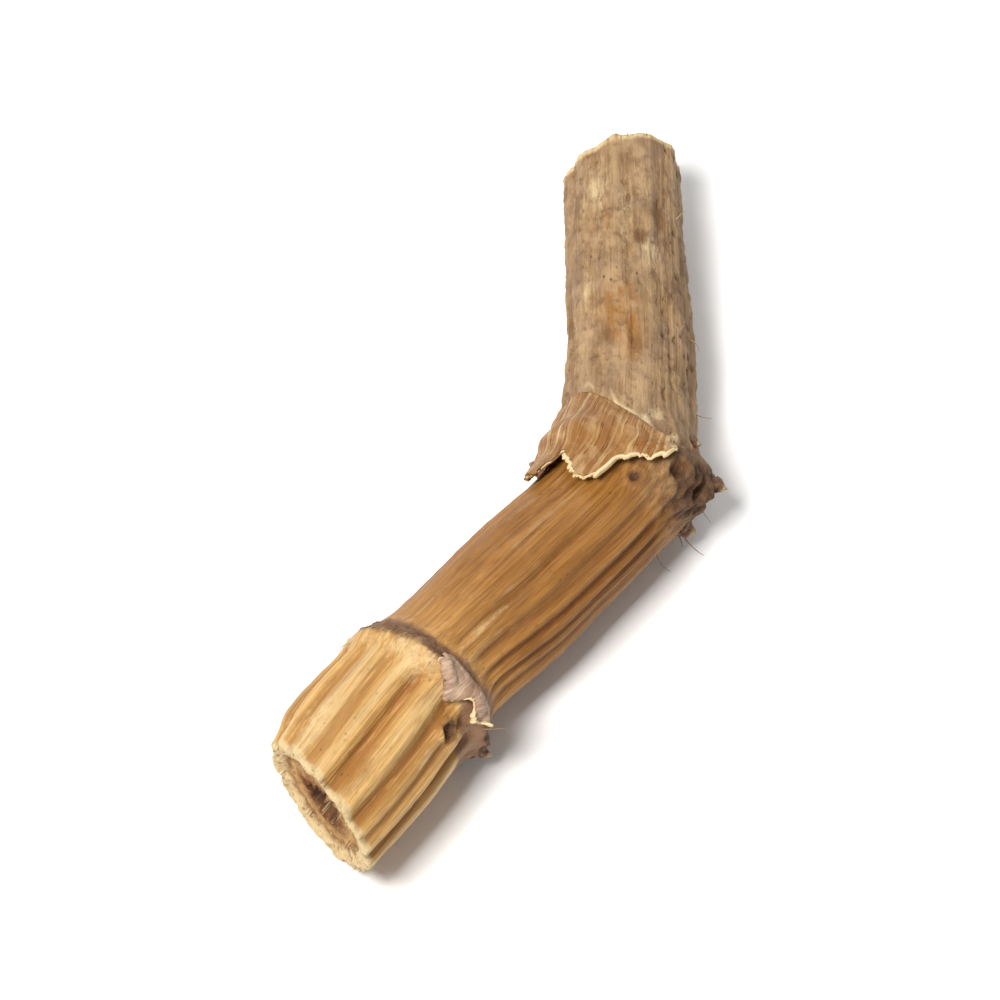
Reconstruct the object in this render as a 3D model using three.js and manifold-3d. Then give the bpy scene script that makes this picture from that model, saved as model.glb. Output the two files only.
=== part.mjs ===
// Couch grass rhizome: one dried, cut piece with two joints, lying on its side.
// Millimetres. X is right, Y runs away from the viewer, Z is up and the ground is z = 0.
import * as THREE from 'three';
import { mergeVertices } from 'three/addons/utils/BufferGeometryUtils.js';
import Module from 'manifold-3d';

const wasm = await Module();
wasm.setup();

// Middle line of the stem: x, y and height, from the slanted cut end to the far cut end.
const COURSE = [
  [0, 0, 1.4],
  [2.07, 3.11, 1.46],
  [4.07, 5.52, 1.39],
  [5.75, 7.8, 1.27],
  [6.03, 10.3, 1.2],
  [5.98, 12.95, 1.17],
  [5.92, 15.6, 0.99],
];
// Half-width of the stem: distance along the middle line, then half-width.
const GIRTH = [
  [0, 1.48],
  [1.9, 1.56],
  [3.5, 1.48],
  [4.6, 1.3],
  [6.6, 1.38],
  [9.2, 1.33],
  [10.9, 1.24],
  [13.6, 1.19],
  [17.4, 1.12],
];
const HEIGHT_TO_WIDTH = 0.95;
// Slow unevenness of the skin: waves round the stem, height, turn per millimetre along it, and start.
const UNEVENNESS = [
  [2, 0.035, 0.7, 0],
  [3, 0.025, -0.9, 1],
];

// The two joints of the stem: place along it, swelling, half-length, and the side that swells most.
const LOWER_JOINT = { at: 3.72, swell: 0.11, spread: 0.24, side: 20, lean: 0.6 };
const UPPER_JOINT = { at: 10.15, swell: 0.16, spread: 0.5, side: 60, lean: 0.3 };

// Furrows: angle round the stem in degrees, depth and half-width in degrees.
// Angle 0 is the right side, 90 the top, 180 the left side and -90 the underside.
const LOWER_FURROWS = [
  [5, 0.17, 6],
  [24, 0.12, 5],
  [41, 0.17, 7],
  [73, 0.19, 7],
  [99, 0.11, 6],
  [128, 0.1, 7],
  [152, 0.15, 7],
  [176, 0.13, 7],
  [204, 0.15, 7],
  [232, 0.1, 6],
  [296, 0.11, 6],
  [318, 0.14, 6],
  [340, 0.15, 6],
];
const MIDDLE_FURROWS = [
  [-4, 0.11, 6],
  [11, 0.13, 5],
  [26, 0.13, 5],
  [43, 0.1, 6],
  [66, 0.05, 6],
  [168, 0.09, 7],
  [196, 0.12, 7],
  [222, 0.1, 7],
  [250, 0.07, 7],
  [292, 0.1, 7],
  [330, 0.12, 7],
];
const UPPER_FURROWS = [
  [18, 0.06, 8],
  [52, 0.05, 8],
  [88, 0.04, 7],
  [121, 0.06, 9],
  [158, 0.07, 9],
  [197, 0.08, 8],
  [236, 0.06, 8],
  [301, 0.07, 8],
  [338, 0.06, 8],
];
const FURROW_SWAY = 1.5;
const FURROW_SWAY_LENGTH = 5.3;

// Cut ends: how far the cut lies along the stem, how much farther per millimetre to the right
// and per millimetre up, and its reach into the stem.
const NEAR_CUT = { shift: 0.45, slant: -0.38, rise: -0.15, reach: 2.0 };
const FAR_CUT = { shift: 0, slant: 0.12, rise: 0.16, reach: 1.4 };
// Hollows of the two end stretches, open at the cuts and closed at the joints.
const NEAR_HOLLOW = { from: -1.2, to: 2.9, radius: 0.46 };
const FAR_HOLLOW = { from: 11.6, to: 18.6, radius: 0.4 };
const HOLLOW_LOBES = 3;
const HOLLOW_LOBE_HEIGHT = 0.12;

// Warts left by roots: place along the stem, angle, radius and height.
const WARTS = [
  [9.45, 66, 0.3, 0.08],
  [9.9, 43, 0.36, 0.17],
  [9.95, 17, 0.38, 0.13],
  [10.3, 2, 0.42, 0.22],
  [10.02, -24, 0.38, 0.13],
  [10.6, 48, 0.3, 0.1],
  [10.2, 205, 0.38, 0.2],
  [9.75, 234, 0.34, 0.14],
  [2.86, 29, 0.36, 0.1],
  [3.35, 214, 0.32, 0.14],
];
// Pits where a root came away: place along the stem, angle and radius. Each is half a ball, whose
// middle lies a little past the skin.
const PITS = [
  [9.4, 67, 0.13],
  [9.87, 44, 0.16],
  [9.95, 17, 0.14],
  [2.86, 29, 0.18],
  [9.75, 234, 0.14],
];
const PIT_RISE = 0.1;
// Root stubs: place along the stem, angle, length past the skin, base and tip radius, lean to the far end.
const ROOT_STUBS = [
  [10.25, 0, 0.24, 0.2, 0.12, 0.3],
  [9.85, -24, 0.14, 0.19, 0.13, -0.4],
  [10.62, 24, 0.14, 0.15, 0.1, 0.5],
  [10.2, 198, 0.3, 0.18, 0.1, 0.3],
  [3.42, 220, 0.22, 0.15, 0.09, -0.4],
  [3.66, -30, 0.14, 0.14, 0.09, 0.2],
];
const STUB_DEPTH = 0.5;
const STUB_FLARE = 0.55;
const STUB_UNEVENNESS = 0.14;
const STUB_BREAK_SLANT = 0.3;

// Torn scale leaves: where they grow from at the first edge and at the second, the angles of these
// edges, lengths of the torn edge between them, clearance at the joint and at the torn edge, and
// how far the middle bulges.
const SCALE_LEAF = {
  root: [10.2, 11.45],
  from: 54,
  to: 180,
  torn: [
    0.2, 0.47, 0.67, 0.83, 1.1, 1.78, 2.16, 2.27, 2.35, 2.3,
    2.2, 3.1, 3.22, 3.0, 2.83, 2.65, 2.4, 2.0, 1.55,
  ],
  clearance: [0.05, 0.17],
  bulge: 0.09,
  thickness: 0.15,
};
const SCALE_LEAF_REMNANT = {
  root: [3.95, 3.95],
  from: 14,
  to: 68,
  torn: [0.35, 0.62, 0.4, 0.74, 0.5, 0.3],
  clearance: [0.05, 0.1],
  bulge: 0.02,
  thickness: 0.11,
};
const LEAF_WAVE_HEIGHT = 0.03;
const LEAF_WAVES = 9;
const LEAF_EDGE_THINNING = 0.45;

// Mesh density. The rings of the stem are crowded at its joints and its cuts: how much more, and over
// what half-length.
const JOINT_CROWDING = { lower: [2.4, 0.6], upper: [2.0, 1.1] };
const CUT_CROWDING = [0.8, 0.6];
const SIDES = 60;
const RINGS = 46;
const HOLLOW_SIDES = 12;
const STUB_SIDES = 9;
const STUB_ROWS = 5;
const PIT_SIDES = 10;
const PIT_ROWS = 6;
const LEAF_COLUMNS_PER_TEAR = 2;
const LEAF_ROWS = 6;

const RADIANS = Math.PI / 180;
const UP = new THREE.Vector3(0, 0, 1);
const middleLine = new THREE.CatmullRomCurve3(
  COURSE.map(([x, y, z]) => new THREE.Vector3(x, y, z)),
  false,
  'catmullrom',
  0.5,
);
const LENGTH = middleLine.getLength();

function smoothStep(from, to, value) {
  return THREE.MathUtils.smoothstep(value, from, to);
}

function bump(value, middle, spread) {
  return Math.exp(-(((value - middle) / spread) ** 2));
}

function angleBetween(first, second) {
  return ((((first - second) % 360) + 540) % 360) - 180;
}

// Value at a place in a list of [place, value] pairs, with eased steps between them.
function valueAlong(pairs, place) {
  let value = pairs[0][1];
  for (let i = 1; i < pairs.length; i += 1) {
    const [startPlace, startValue] = pairs[i - 1];
    const [endPlace, endValue] = pairs[i];
    if (place > startPlace) {
      value = THREE.MathUtils.lerp(startValue, endValue, smoothStep(startPlace, endPlace, place));
    }
  }
  return value;
}

// The middle line's point and directions at a distance along it. Both ends run on straight.
function stemFrame(along) {
  const share = THREE.MathUtils.clamp(along / LENGTH, 0, 1);
  const tangent = middleLine.getTangentAt(share).setZ(0).normalize();
  const centre = middleLine.getPointAt(share).addScaledVector(tangent, along - share * LENGTH);
  const right = new THREE.Vector3(tangent.y, -tangent.x, 0);
  return { centre, tangent, right };
}

function furrowDepth(furrows, angle) {
  let depth = 0;
  for (const [middle, deepest, halfWidth] of furrows) {
    depth += deepest * bump(angleBetween(angle, middle), 0, halfWidth);
  }
  return depth;
}

// Share of each stretch's furrows at a distance along the stem: lower, middle, upper.
function stretchShares(along) {
  const lower = 1 - smoothStep(LOWER_JOINT.at - 0.55, LOWER_JOINT.at - 0.2, along);
  const middleStart = smoothStep(LOWER_JOINT.at + 0.3, LOWER_JOINT.at + 1.1, along);
  const middleEnd = 1 - smoothStep(UPPER_JOINT.at - 1.3, UPPER_JOINT.at - 0.5, along);
  const upper = smoothStep(UPPER_JOINT.at + 0.5, UPPER_JOINT.at + 1.5, along);
  return [lower, middleStart * middleEnd, upper];
}

// Height of the root warts at a distance along the stem and an angle round it.
function wartHeight(along, angle) {
  const girth = valueAlong(GIRTH, along);
  let height = 0;
  for (const [place, side, radius, top] of WARTS) {
    const away = Math.hypot(along - place, angleBetween(angle, side) * RADIANS * girth);
    height += top * bump(away, 0, radius);
  }
  return height;
}

function jointSwelling(joint, along, angle) {
  const side = 1 + joint.lean * Math.cos(angleBetween(angle, joint.side) * RADIANS);
  return joint.swell * side * bump(along, joint.at, joint.spread);
}

// Half-width of the skin at a distance along the stem and an angle round it.
function skinRadius(along, angle) {
  const sway = FURROW_SWAY * Math.sin((2 * Math.PI * along) / FURROW_SWAY_LENGTH);
  const [lower, middle, upper] = stretchShares(along);
  const furrows = lower * furrowDepth(LOWER_FURROWS, angle + sway)
    + middle * furrowDepth(MIDDLE_FURROWS, angle + sway)
    + upper * furrowDepth(UPPER_FURROWS, angle + 2 * sway);
  let unevenness = 0;
  for (const [waves, height, turn, start] of UNEVENNESS) {
    unevenness += height * Math.sin(waves * angle * RADIANS + turn * along + start);
  }
  const swelling = jointSwelling(LOWER_JOINT, along, angle) + jointSwelling(UPPER_JOINT, along, angle);
  return valueAlong(GIRTH, along) + swelling + unevenness + wartHeight(along, angle) - furrows;
}

// A point at a distance along the stem, an angle round it and a distance past its skin.
function skinPoint(along, angle, past = 0) {
  const { centre, right } = stemFrame(along);
  const radius = skinRadius(along, angle) + past;
  return centre
    .addScaledVector(right, radius * Math.cos(angle * RADIANS))
    .addScaledVector(UP, radius * HEIGHT_TO_WIDTH * Math.sin(angle * RADIANS));
}

// Merges a geometry's shared corners and makes a solid of it.
function solidOf(geometry) {
  geometry.deleteAttribute('normal');
  geometry.deleteAttribute('uv');
  const merged = mergeVertices(geometry, 1e-4);
  const mesh = new wasm.Mesh({
    numProp: 3,
    vertProperties: new Float32Array(merged.attributes.position.array),
    triVerts: new Uint32Array(merged.index.array),
  });
  return new wasm.Manifold(mesh);
}

function geometryOf(solid) {
  const mesh = solid.getMesh();
  const geometry = new THREE.BufferGeometry();
  geometry.setAttribute('position', new THREE.BufferAttribute(mesh.vertProperties, 3));
  geometry.setIndex(new THREE.BufferAttribute(mesh.triVerts, 1));
  return geometry;
}

// Places of the rings along the stem, close together at the joints and the cuts.
function ringPlaces() {
  const steps = 600;
  const crowded = [
    [LOWER_JOINT.at, ...JOINT_CROWDING.lower],
    [UPPER_JOINT.at, ...JOINT_CROWDING.upper],
    [0, ...CUT_CROWDING],
    [LENGTH, ...CUT_CROWDING],
  ];
  const density = (along) => {
    let sum = 1;
    for (const [place, extra, halfLength] of crowded) {
      sum += extra * bump(along, place, halfLength);
    }
    return sum;
  };
  const sums = [0];
  for (let i = 1; i <= steps; i += 1) {
    sums.push(sums[i - 1] + density(((i - 0.5) / steps) * LENGTH));
  }
  const places = [];
  let step = 0;
  for (let ring = 0; ring <= RINGS; ring += 1) {
    const wanted = (ring / RINGS) * sums[steps];
    while (step < steps && sums[step] < wanted) {
      step += 1;
    }
    places.push((step / steps) * LENGTH);
  }
  return places;
}

// Moves a point that lies near a cut end along the stem, onto or beside the slanted cut.
function cutShift(along, side, height) {
  const near = NEAR_CUT.shift + NEAR_CUT.slant * side + NEAR_CUT.rise * height;
  const far = FAR_CUT.shift + FAR_CUT.slant * side + FAR_CUT.rise * height;
  return near * (1 - smoothStep(0, NEAR_CUT.reach, along))
    + far * smoothStep(LENGTH - FAR_CUT.reach, LENGTH, along);
}

// The stem itself: a closed cylinder whose rings follow the middle line and the skin.
function stem() {
  const places = ringPlaces();
  const geometry = new THREE.CylinderGeometry(1, 1, 1, SIDES, RINGS);
  const position = geometry.attributes.position;
  for (let i = 0; i < position.count; i += 1) {
    const share = Math.hypot(position.getX(i), position.getZ(i));
    const angle = Math.atan2(position.getZ(i), position.getX(i)) / RADIANS;
    const along = places[Math.round((position.getY(i) + 0.5) * RINGS)];
    const { centre, tangent, right } = stemFrame(along);
    const radius = share < 0.5 ? 0 : skinRadius(along, angle);
    const side = radius * Math.cos(angle * RADIANS);
    const height = radius * HEIGHT_TO_WIDTH * Math.sin(angle * RADIANS);
    centre
      .addScaledVector(right, side)
      .addScaledVector(UP, height)
      .addScaledVector(tangent, cutShift(along, side, height));
    position.setXYZ(i, centre.x, centre.y, centre.z);
  }
  return solidOf(geometry);
}

// The hollow of an end stretch, as a tube along the middle line.
function hollow({ from, to, radius }) {
  const points = [];
  const steps = 7;
  for (let i = 0; i <= steps; i += 1) {
    points.push(stemFrame(THREE.MathUtils.lerp(from, to, i / steps)).centre);
  }
  const section = new THREE.Shape();
  for (let i = 0; i < HOLLOW_SIDES; i += 1) {
    const angle = (i / HOLLOW_SIDES) * 2 * Math.PI;
    const reach = radius * (1 + HOLLOW_LOBE_HEIGHT * Math.sin(HOLLOW_LOBES * angle + 1));
    const corner = [reach * Math.cos(angle), reach * Math.sin(angle)];
    if (i === 0) {
      section.moveTo(...corner);
    } else {
      section.lineTo(...corner);
    }
  }
  section.closePath();
  const extrudePath = new THREE.CatmullRomCurve3(points);
  return solidOf(new THREE.ExtrudeGeometry(section, { steps, extrudePath, bevelEnabled: false }));
}

function pit([along, angle, radius]) {
  const geometry = new THREE.SphereGeometry(radius, PIT_SIDES, PIT_ROWS);
  geometry.translate(...skinPoint(along, angle, PIT_RISE * radius).toArray());
  return solidOf(geometry);
}

// A root stub: flared where it leaves the skin, a little uneven, and broken off aslant.
function rootStub([along, angle, length, baseRadius, tipRadius, lean]) {
  const base = skinPoint(along, angle, -STUB_DEPTH);
  const { tangent } = stemFrame(along);
  const out = skinPoint(along, angle, 0).sub(base).normalize().addScaledVector(tangent, lean).normalize();
  const total = length + STUB_DEPTH;
  const geometry = new THREE.CylinderGeometry(tipRadius, baseRadius, total, STUB_SIDES, STUB_ROWS);
  geometry.translate(0, total / 2, 0);
  const position = geometry.attributes.position;
  for (let i = 0; i < position.count; i += 1) {
    const share = position.getY(i) / total;
    const turn = Math.atan2(position.getZ(i), position.getX(i));
    const flare = 1 + STUB_FLARE * (1 - smoothStep(0.5, 0.85, share));
    const uneven = 1 + STUB_UNEVENNESS * Math.sin(2 * turn + 5 * share + angle);
    const slant = STUB_BREAK_SLANT * position.getX(i) * share;
    const width = flare * uneven;
    position.setXYZ(i, position.getX(i) * width, position.getY(i) - slant, position.getZ(i) * width);
  }
  geometry.applyQuaternion(new THREE.Quaternion().setFromUnitVectors(new THREE.Vector3(0, 1, 0), out));
  geometry.translate(...base.toArray());
  return solidOf(geometry);
}

// Everything below the ground is pressed flat.
function ground() {
  const size = 60;
  const geometry = new THREE.BoxGeometry(size, size, size);
  geometry.translate(0, 0, -size / 2);
  return solidOf(geometry);
}

function rhizomeGeometry() {
  let solid = stem();
  for (const row of ROOT_STUBS) {
    solid = solid.add(rootStub(row));
  }
  for (const row of PITS) {
    solid = solid.subtract(pit(row));
  }
  solid = solid.subtract(hollow(NEAR_HOLLOW)).subtract(hollow(FAR_HOLLOW)).subtract(ground());
  return geometryOf(solid);
}

// Length of a torn edge at a share of its width, straight between the listed lengths.
function tornLength(torn, share) {
  const place = share * (torn.length - 1);
  const first = Math.min(Math.floor(place), torn.length - 2);
  return THREE.MathUtils.lerp(torn[first], torn[first + 1], place - first);
}

// A scale leaf: a thin block bent over the stem, whose far edge is torn and stands off a little.
function scaleLeafGeometry({ root, from, to, torn, clearance, bulge, thickness }) {
  const columns = LEAF_COLUMNS_PER_TEAR * (torn.length - 1);
  const geometry = new THREE.BoxGeometry(1, 1, 1, columns, LEAF_ROWS, 1);
  const position = geometry.attributes.position;
  for (let i = 0; i < position.count; i += 1) {
    const across = position.getX(i) + 0.5;
    const down = 0.5 - position.getY(i);
    const outer = position.getZ(i) > 0;
    const angle = THREE.MathUtils.lerp(to, from, across);
    const base = THREE.MathUtils.lerp(root[0], root[1], smoothStep(0, 0.7, 1 - across));
    const along = base - down * tornLength(torn, 1 - across);
    const lift = THREE.MathUtils.lerp(clearance[0], clearance[1], down * down);
    const dome = bulge * Math.sin(Math.PI * across) * Math.sin(Math.PI * down);
    const wave = LEAF_WAVE_HEIGHT * Math.sin(LEAF_WAVES * angle * RADIANS) * down;
    const inside = Math.max(lift + wave + dome, clearance[0]);
    const edgeThickness = thickness * (1 - LEAF_EDGE_THINNING * down);
    const point = skinPoint(along, angle, inside + (outer ? edgeThickness : 0));
    position.setXYZ(i, point.x, point.y, point.z);
  }
  return geometryOf(solidOf(geometry));
}

const materials = {
  rhizome: new THREE.MeshStandardMaterial({ color: 0xba8a50, roughness: 0.6, metalness: 0 }),
  scale_leaf: new THREE.MeshStandardMaterial({ color: 0xc49a66, roughness: 0.75, metalness: 0 }),
  scale_leaf_remnant: new THREE.MeshStandardMaterial({ color: 0xb39a80, roughness: 0.8, metalness: 0 }),
};

function piece(name, geometry) {
  const mesh = new THREE.Mesh(geometry, materials[name]);
  mesh.name = name;
  return mesh;
}

const couchGrassRhizome = new THREE.Group();
couchGrassRhizome.add(
  piece('rhizome', rhizomeGeometry()),
  piece('scale_leaf', scaleLeafGeometry(SCALE_LEAF)),
  piece('scale_leaf_remnant', scaleLeafGeometry(SCALE_LEAF_REMNANT)),
);

// The origin lies on the ground, under the middle of the whole piece.
const extent = new THREE.Box3().setFromObject(couchGrassRhizome);
const middle = extent.getCenter(new THREE.Vector3());
couchGrassRhizome.position.set(-middle.x, -middle.y, 0);

export default couchGrassRhizome;
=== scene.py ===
"""Couch grass rhizome: one dried, cut piece, with its skin, cut ends, roots and torn scale leaves."""

import bisect
import functools
import math
import random
from collections import namedtuple
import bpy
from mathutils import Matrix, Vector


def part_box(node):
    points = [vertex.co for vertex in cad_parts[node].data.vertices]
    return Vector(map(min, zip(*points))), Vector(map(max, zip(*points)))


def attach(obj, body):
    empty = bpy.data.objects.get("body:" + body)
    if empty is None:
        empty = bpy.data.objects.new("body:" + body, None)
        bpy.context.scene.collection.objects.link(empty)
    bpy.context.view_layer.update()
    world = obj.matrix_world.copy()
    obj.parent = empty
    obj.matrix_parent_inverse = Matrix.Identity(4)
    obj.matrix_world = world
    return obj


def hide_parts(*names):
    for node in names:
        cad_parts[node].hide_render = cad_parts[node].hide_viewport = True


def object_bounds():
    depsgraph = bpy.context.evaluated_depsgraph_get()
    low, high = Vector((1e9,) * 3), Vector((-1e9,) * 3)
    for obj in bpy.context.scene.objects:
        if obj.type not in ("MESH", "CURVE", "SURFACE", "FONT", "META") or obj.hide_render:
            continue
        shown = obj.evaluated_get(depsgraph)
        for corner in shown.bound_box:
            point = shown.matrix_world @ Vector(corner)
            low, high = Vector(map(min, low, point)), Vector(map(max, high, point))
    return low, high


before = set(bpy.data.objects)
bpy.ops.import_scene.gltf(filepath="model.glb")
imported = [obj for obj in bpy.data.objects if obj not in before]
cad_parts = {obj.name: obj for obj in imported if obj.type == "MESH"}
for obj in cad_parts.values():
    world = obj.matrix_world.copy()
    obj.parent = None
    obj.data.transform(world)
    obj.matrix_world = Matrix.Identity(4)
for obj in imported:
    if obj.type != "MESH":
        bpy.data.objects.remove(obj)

from types import SimpleNamespace

import bmesh
import bpy
from bpy.props import FloatProperty, FloatVectorProperty, IntProperty, PointerProperty
from mathutils import Quaternion, Vector, noise

bl_info = {
    "name": "Couch grass rhizome",
    "version": (1, 0, 0),
    "blender": (4, 5, 0),
    "location": "3D View > Sidebar > Rhizome",
    "description": "Makes a dried, cut piece of couch grass rhizome and a plain stage for it",
    "category": "Add Mesh",
}

CAD_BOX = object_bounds()
ROOT_BODY = "root"
MM = 0.001
UP = Vector((0, 0, 1))

# Lengths are in millimetres, but for those of the lights and the ground, which are in metres. Places
# are distances along the stem from its near end. Angles round it are in degrees, with the underside
# at -90.
RIGHT, TOP, LEFT = 0, 90, 180

# The stem's middle line: x, y and height, from the near cut end to the far one, and where the first
# point lies in the frame.
COURSE = (
    (0, 0, 1.4),
    (2.07, 3.11, 1.46),
    (4.07, 5.52, 1.39),
    (5.75, 7.8, 1.27),
    (6.03, 10.3, 1.2),
    (5.98, 12.95, 1.17),
    (5.92, 15.6, 0.99),
)
COURSE_START = (-3.60489, -7.45936)
# Half-width of the stem: place, then half-width.
GIRTH = (
    (0, 1.48),
    (1.9, 1.56),
    (3.5, 1.48),
    (4.6, 1.3),
    (6.6, 1.38),
    (9.2, 1.33),
    (10.9, 1.24),
    (13.6, 1.19),
    (17.4, 1.12),
)
HEIGHT_TO_WIDTH = 0.95
# Unevenness of the section: waves round the stem, height, turn per millimetre and start, in radians.
UNEVENNESS = (
    (2, 0.035, 0.7, 0),
    (3, 0.025, -0.9, 1),
)
# How far short of the solid's ends the skin stops, so that the loose fibres end where the solid does.
END_GAP = 0.1

# Joints: place, swelling, half-length, the side that swells most and by how much more.
Joint = namedtuple("Joint", "place swelling half_length side lean")
LOWER_JOINT = Joint(3.72, 0.11, 0.24, 20.0, 0.6)
UPPER_JOINT = Joint(10.15, 0.16, 0.5, 60.0, 0.3)

# Furrows: angle, depth and half-width in degrees.
LOWER_FURROWS = (
    (5, 0.17, 6),
    (24, 0.12, 5),
    (41, 0.17, 7),
    (73, 0.19, 7),
    (99, 0.11, 6),
    (128, 0.1, 7),
    (152, 0.15, 7),
    (176, 0.13, 7),
    (204, 0.15, 7),
    (232, 0.1, 6),
    (296, 0.11, 6),
    (318, 0.14, 6),
    (340, 0.15, 6),
)
MIDDLE_FURROWS = (
    (-4, 0.11, 6),
    (11, 0.13, 5),
    (26, 0.13, 5),
    (43, 0.1, 6),
    (66, 0.05, 6),
    (168, 0.09, 7),
    (196, 0.12, 7),
    (222, 0.1, 7),
    (250, 0.07, 7),
    (292, 0.1, 7),
    (330, 0.12, 7),
)
UPPER_FURROWS = (
    (18, 0.06, 8),
    (52, 0.05, 8),
    (88, 0.04, 7),
    (121, 0.06, 9),
    (158, 0.07, 9),
    (197, 0.08, 8),
    (236, 0.06, 8),
    (301, 0.07, 8),
    (338, 0.06, 8),
)
# The furrows of the three stretches, and how many times the common sway they take.
STRETCHES = ((LOWER_FURROWS, 1), (MIDDLE_FURROWS, 1), (UPPER_FURROWS, 2))
FURROW_SWAY = 1.5
FURROW_SWAY_LENGTH = 5.3
# Where the furrows of each stretch start and end, from the nearest joint.
LOWER_FURROWS_END = (-0.55, -0.2)
MIDDLE_FURROWS_START = (0.3, 1.1)
MIDDLE_FURROWS_END = (-1.3, -0.5)
UPPER_FURROWS_START = (0.5, 1.5)

# Cut ends: place of the cut, how much farther it lies per millimetre to the right and per
# millimetre up, its reach into the stem, and a seed for its unevenness.
Cut = namedtuple("Cut", "place per_right per_up reach seed")
NEAR_CUT = Cut(0.45, -0.38, -0.15, 2.0, 5)
FAR_CUT = Cut(0.0, 0.12, 0.16, 1.4, 9)
# The face of a cut: its rings, from near 1 at the rim to the last at the hollow's edge, and how deep
# the hollow's own rings lie.
FACE_SHARES = (0.985, 0.955, 0.91, 0.85, 0.78, 0.7, 0.62, 0.54, 0.47, 0.41, 0.36)
HOLLOW_SHARE = FACE_SHARES[-1]
HOLLOW_DEPTHS = (0.06, 0.16, 0.34, 0.6, 1.0, 1.5, 2.1)
# Heights on the face: the lip at its rim, its dish, the torn edge of the hollow and the fibres.
LIP_HEIGHT = 0.04
DISH_DEPTH = 0.12
TORN_HEIGHT = 0.14
FACE_FIBRE_HEIGHT = 0.05

# Root warts: place, angle, radius and height. Pits: place, angle and radius.
WARTS = (
    (9.45, 66, 0.3, 0.08),
    (9.9, 43, 0.36, 0.17),
    (9.95, 17, 0.38, 0.13),
    (10.3, 2, 0.42, 0.22),
    (10.02, -24, 0.38, 0.13),
    (10.6, 48, 0.3, 0.1),
    (10.2, 205, 0.38, 0.2),
    (9.75, 234, 0.34, 0.14),
    (2.86, 29, 0.36, 0.1),
    (3.35, 214, 0.32, 0.14),
)
PITS = (
    (9.4, 67, 0.13),
    (9.87, 44, 0.16),
    (9.95, 17, 0.14),
    (2.86, 29, 0.18),
    (9.75, 234, 0.14),
)
# Root stubs: place, angle, length past the skin, base and tip radius, lean to the far end.
ROOT_STUBS = (
    (10.25, 0, 0.24, 0.2, 0.12, 0.3),
    (9.85, -24, 0.14, 0.19, 0.13, -0.4),
    (10.62, 24, 0.14, 0.15, 0.1, 0.5),
    (10.2, 198, 0.3, 0.18, 0.1, 0.3),
    (3.42, 220, 0.22, 0.15, 0.09, -0.4),
    (3.66, -30, 0.14, 0.14, 0.09, 0.2),
)
# How deep a stub is set in, how far it bends and droops, and how much wider it is at its foot.
STUB_DEPTH = 0.3
STUB_BEND = 0.1
STUB_DROOP = 0.05
STUB_FLARE = 0.75
# Rings of a stub's side and of its tip, how much deeper each ring of the tip sinks and how much
# narrower it is, and corners in a ring.
STUB_RINGS = 26
STUB_TIP_RINGS = 6
STUB_TIP_SINK = 0.02
STUB_TIP_NARROWING = 0.14
STUB_SIDES = 24
# Rootlets and loose fibres: rings, corners in a ring, how much they taper, and seeds for where they
# stand and for how they bend.
Hair = namedtuple("Hair", "rings sides taper seed bend_seed")
ROOTLET = Hair(9, 6, 0.75, 41, 100)
FIBRE = Hair(5, 5, 0.8, 77, 900)

# Scale leaves: where they grow from at the first edge and at the second, the angles of these edges,
# the lengths of the torn edge between them, clearance at the joint and at the torn edge, how far the
# middle bulges, height of the crumples, thickness of the solid, and columns and rows of the sheet.
UPPER_LEAF = {
    "root": (10.2, 11.45),
    "edges": (54, 180),
    "torn": (
        *(0.2, 0.47, 0.67, 0.83, 1.1, 1.78, 2.16, 2.27, 2.35, 2.3),
        *(2.2, 3.1, 3.22, 3.0, 2.83, 2.65, 2.4, 2.0, 1.55),
    ),
    "clearance": (0.05, 0.17),
    "bulge": 0.09,
    "crumple": 0.09,
    "thickness": 0.15,
    "grid": (260, 60),
}
LOWER_LEAF = {
    "root": (3.95, 3.95),
    "edges": (14, 68),
    "torn": (0.35, 0.62, 0.4, 0.74, 0.5, 0.3),
    "clearance": (0.05, 0.1),
    "bulge": 0.02,
    "crumple": 0.16,
    "thickness": 0.11,
    "grid": (120, 36),
}
# A leaf's torn edge rolls outwards from this share of its length on, by this angle in radians.
ROLL_START = 0.86
ROLL_TURN = 2.2
# Over these shares of its width the roll fades out, and past them the torn edge is flat and crinkled.
FLANK = (0.53, 0.63)
CRINKLE_HEIGHT = 0.09
# The least distance between the skin and a leaf, whose foot and side edges are then tucked in.
LEAF_GAP = 0.04
FOOT_TUCK = 0.07
EDGE_TUCK = 0.05
# Thickness of a leaf's sheet as a share of the solid's, and how much less it is at the torn edge.
SHEET_THICKNESS = 0.5
TORN_THINNING = 0.1

# Stains on the skin: place, angle, half-length along the stem, half-width round it, and strength.
# The dark ones are soil and decay and lie a little sunken, but two of them paint shade on the right
# side of the rough stretch; the warm ones are orange-gold patches; and in the pale ones the skin has
# worn off, while those on the upper side of the stem are partly painted highlight.
DARK_STAINS_AND_SHADE = (
    (15.08, 77, 0.2, 0.15, 1.0),
    (15.7, 56, 0.5, 0.14, 0.9),
    (12.5, 85, 0.3, 0.12, 0.8),
    (12.75, 112, 0.2, 0.12, 0.8),
    # These two paint the shade on the right side of the rough stretch.
    (14.1, 34, 0.9, 0.16, 0.5),
    (11.9, 30, 0.7, 0.2, 0.6),
    (16.3, 150, 0.6, 0.2, 0.6),
    (13.4, 168, 0.5, 0.2, 0.5),
    (8.3, 118, 0.2, 0.06, 0.6),
    (6.2, 96, 0.25, 0.05, 0.5),
    (1.4, 74, 0.5, 0.06, 0.5),
    (12.2, 240, 0.5, 0.2, 0.7),
    (7.4, 250, 0.4, 0.15, 0.6),
)
WARM_STAINS = (
    (13.3, 100, 0.8, 0.36, 1.0),
    (12.5, 90, 0.5, 0.22, 1.0),
    (15.6, 108, 0.6, 0.1, 0.5),
    (0.8, 66, 0.6, 0.3, 0.75),
    (1.7, 44, 0.7, 0.12, 0.6),
    (14.6, 200, 0.7, 0.25, 0.7),
    (12.9, 300, 0.7, 0.25, 0.7),
)
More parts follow.
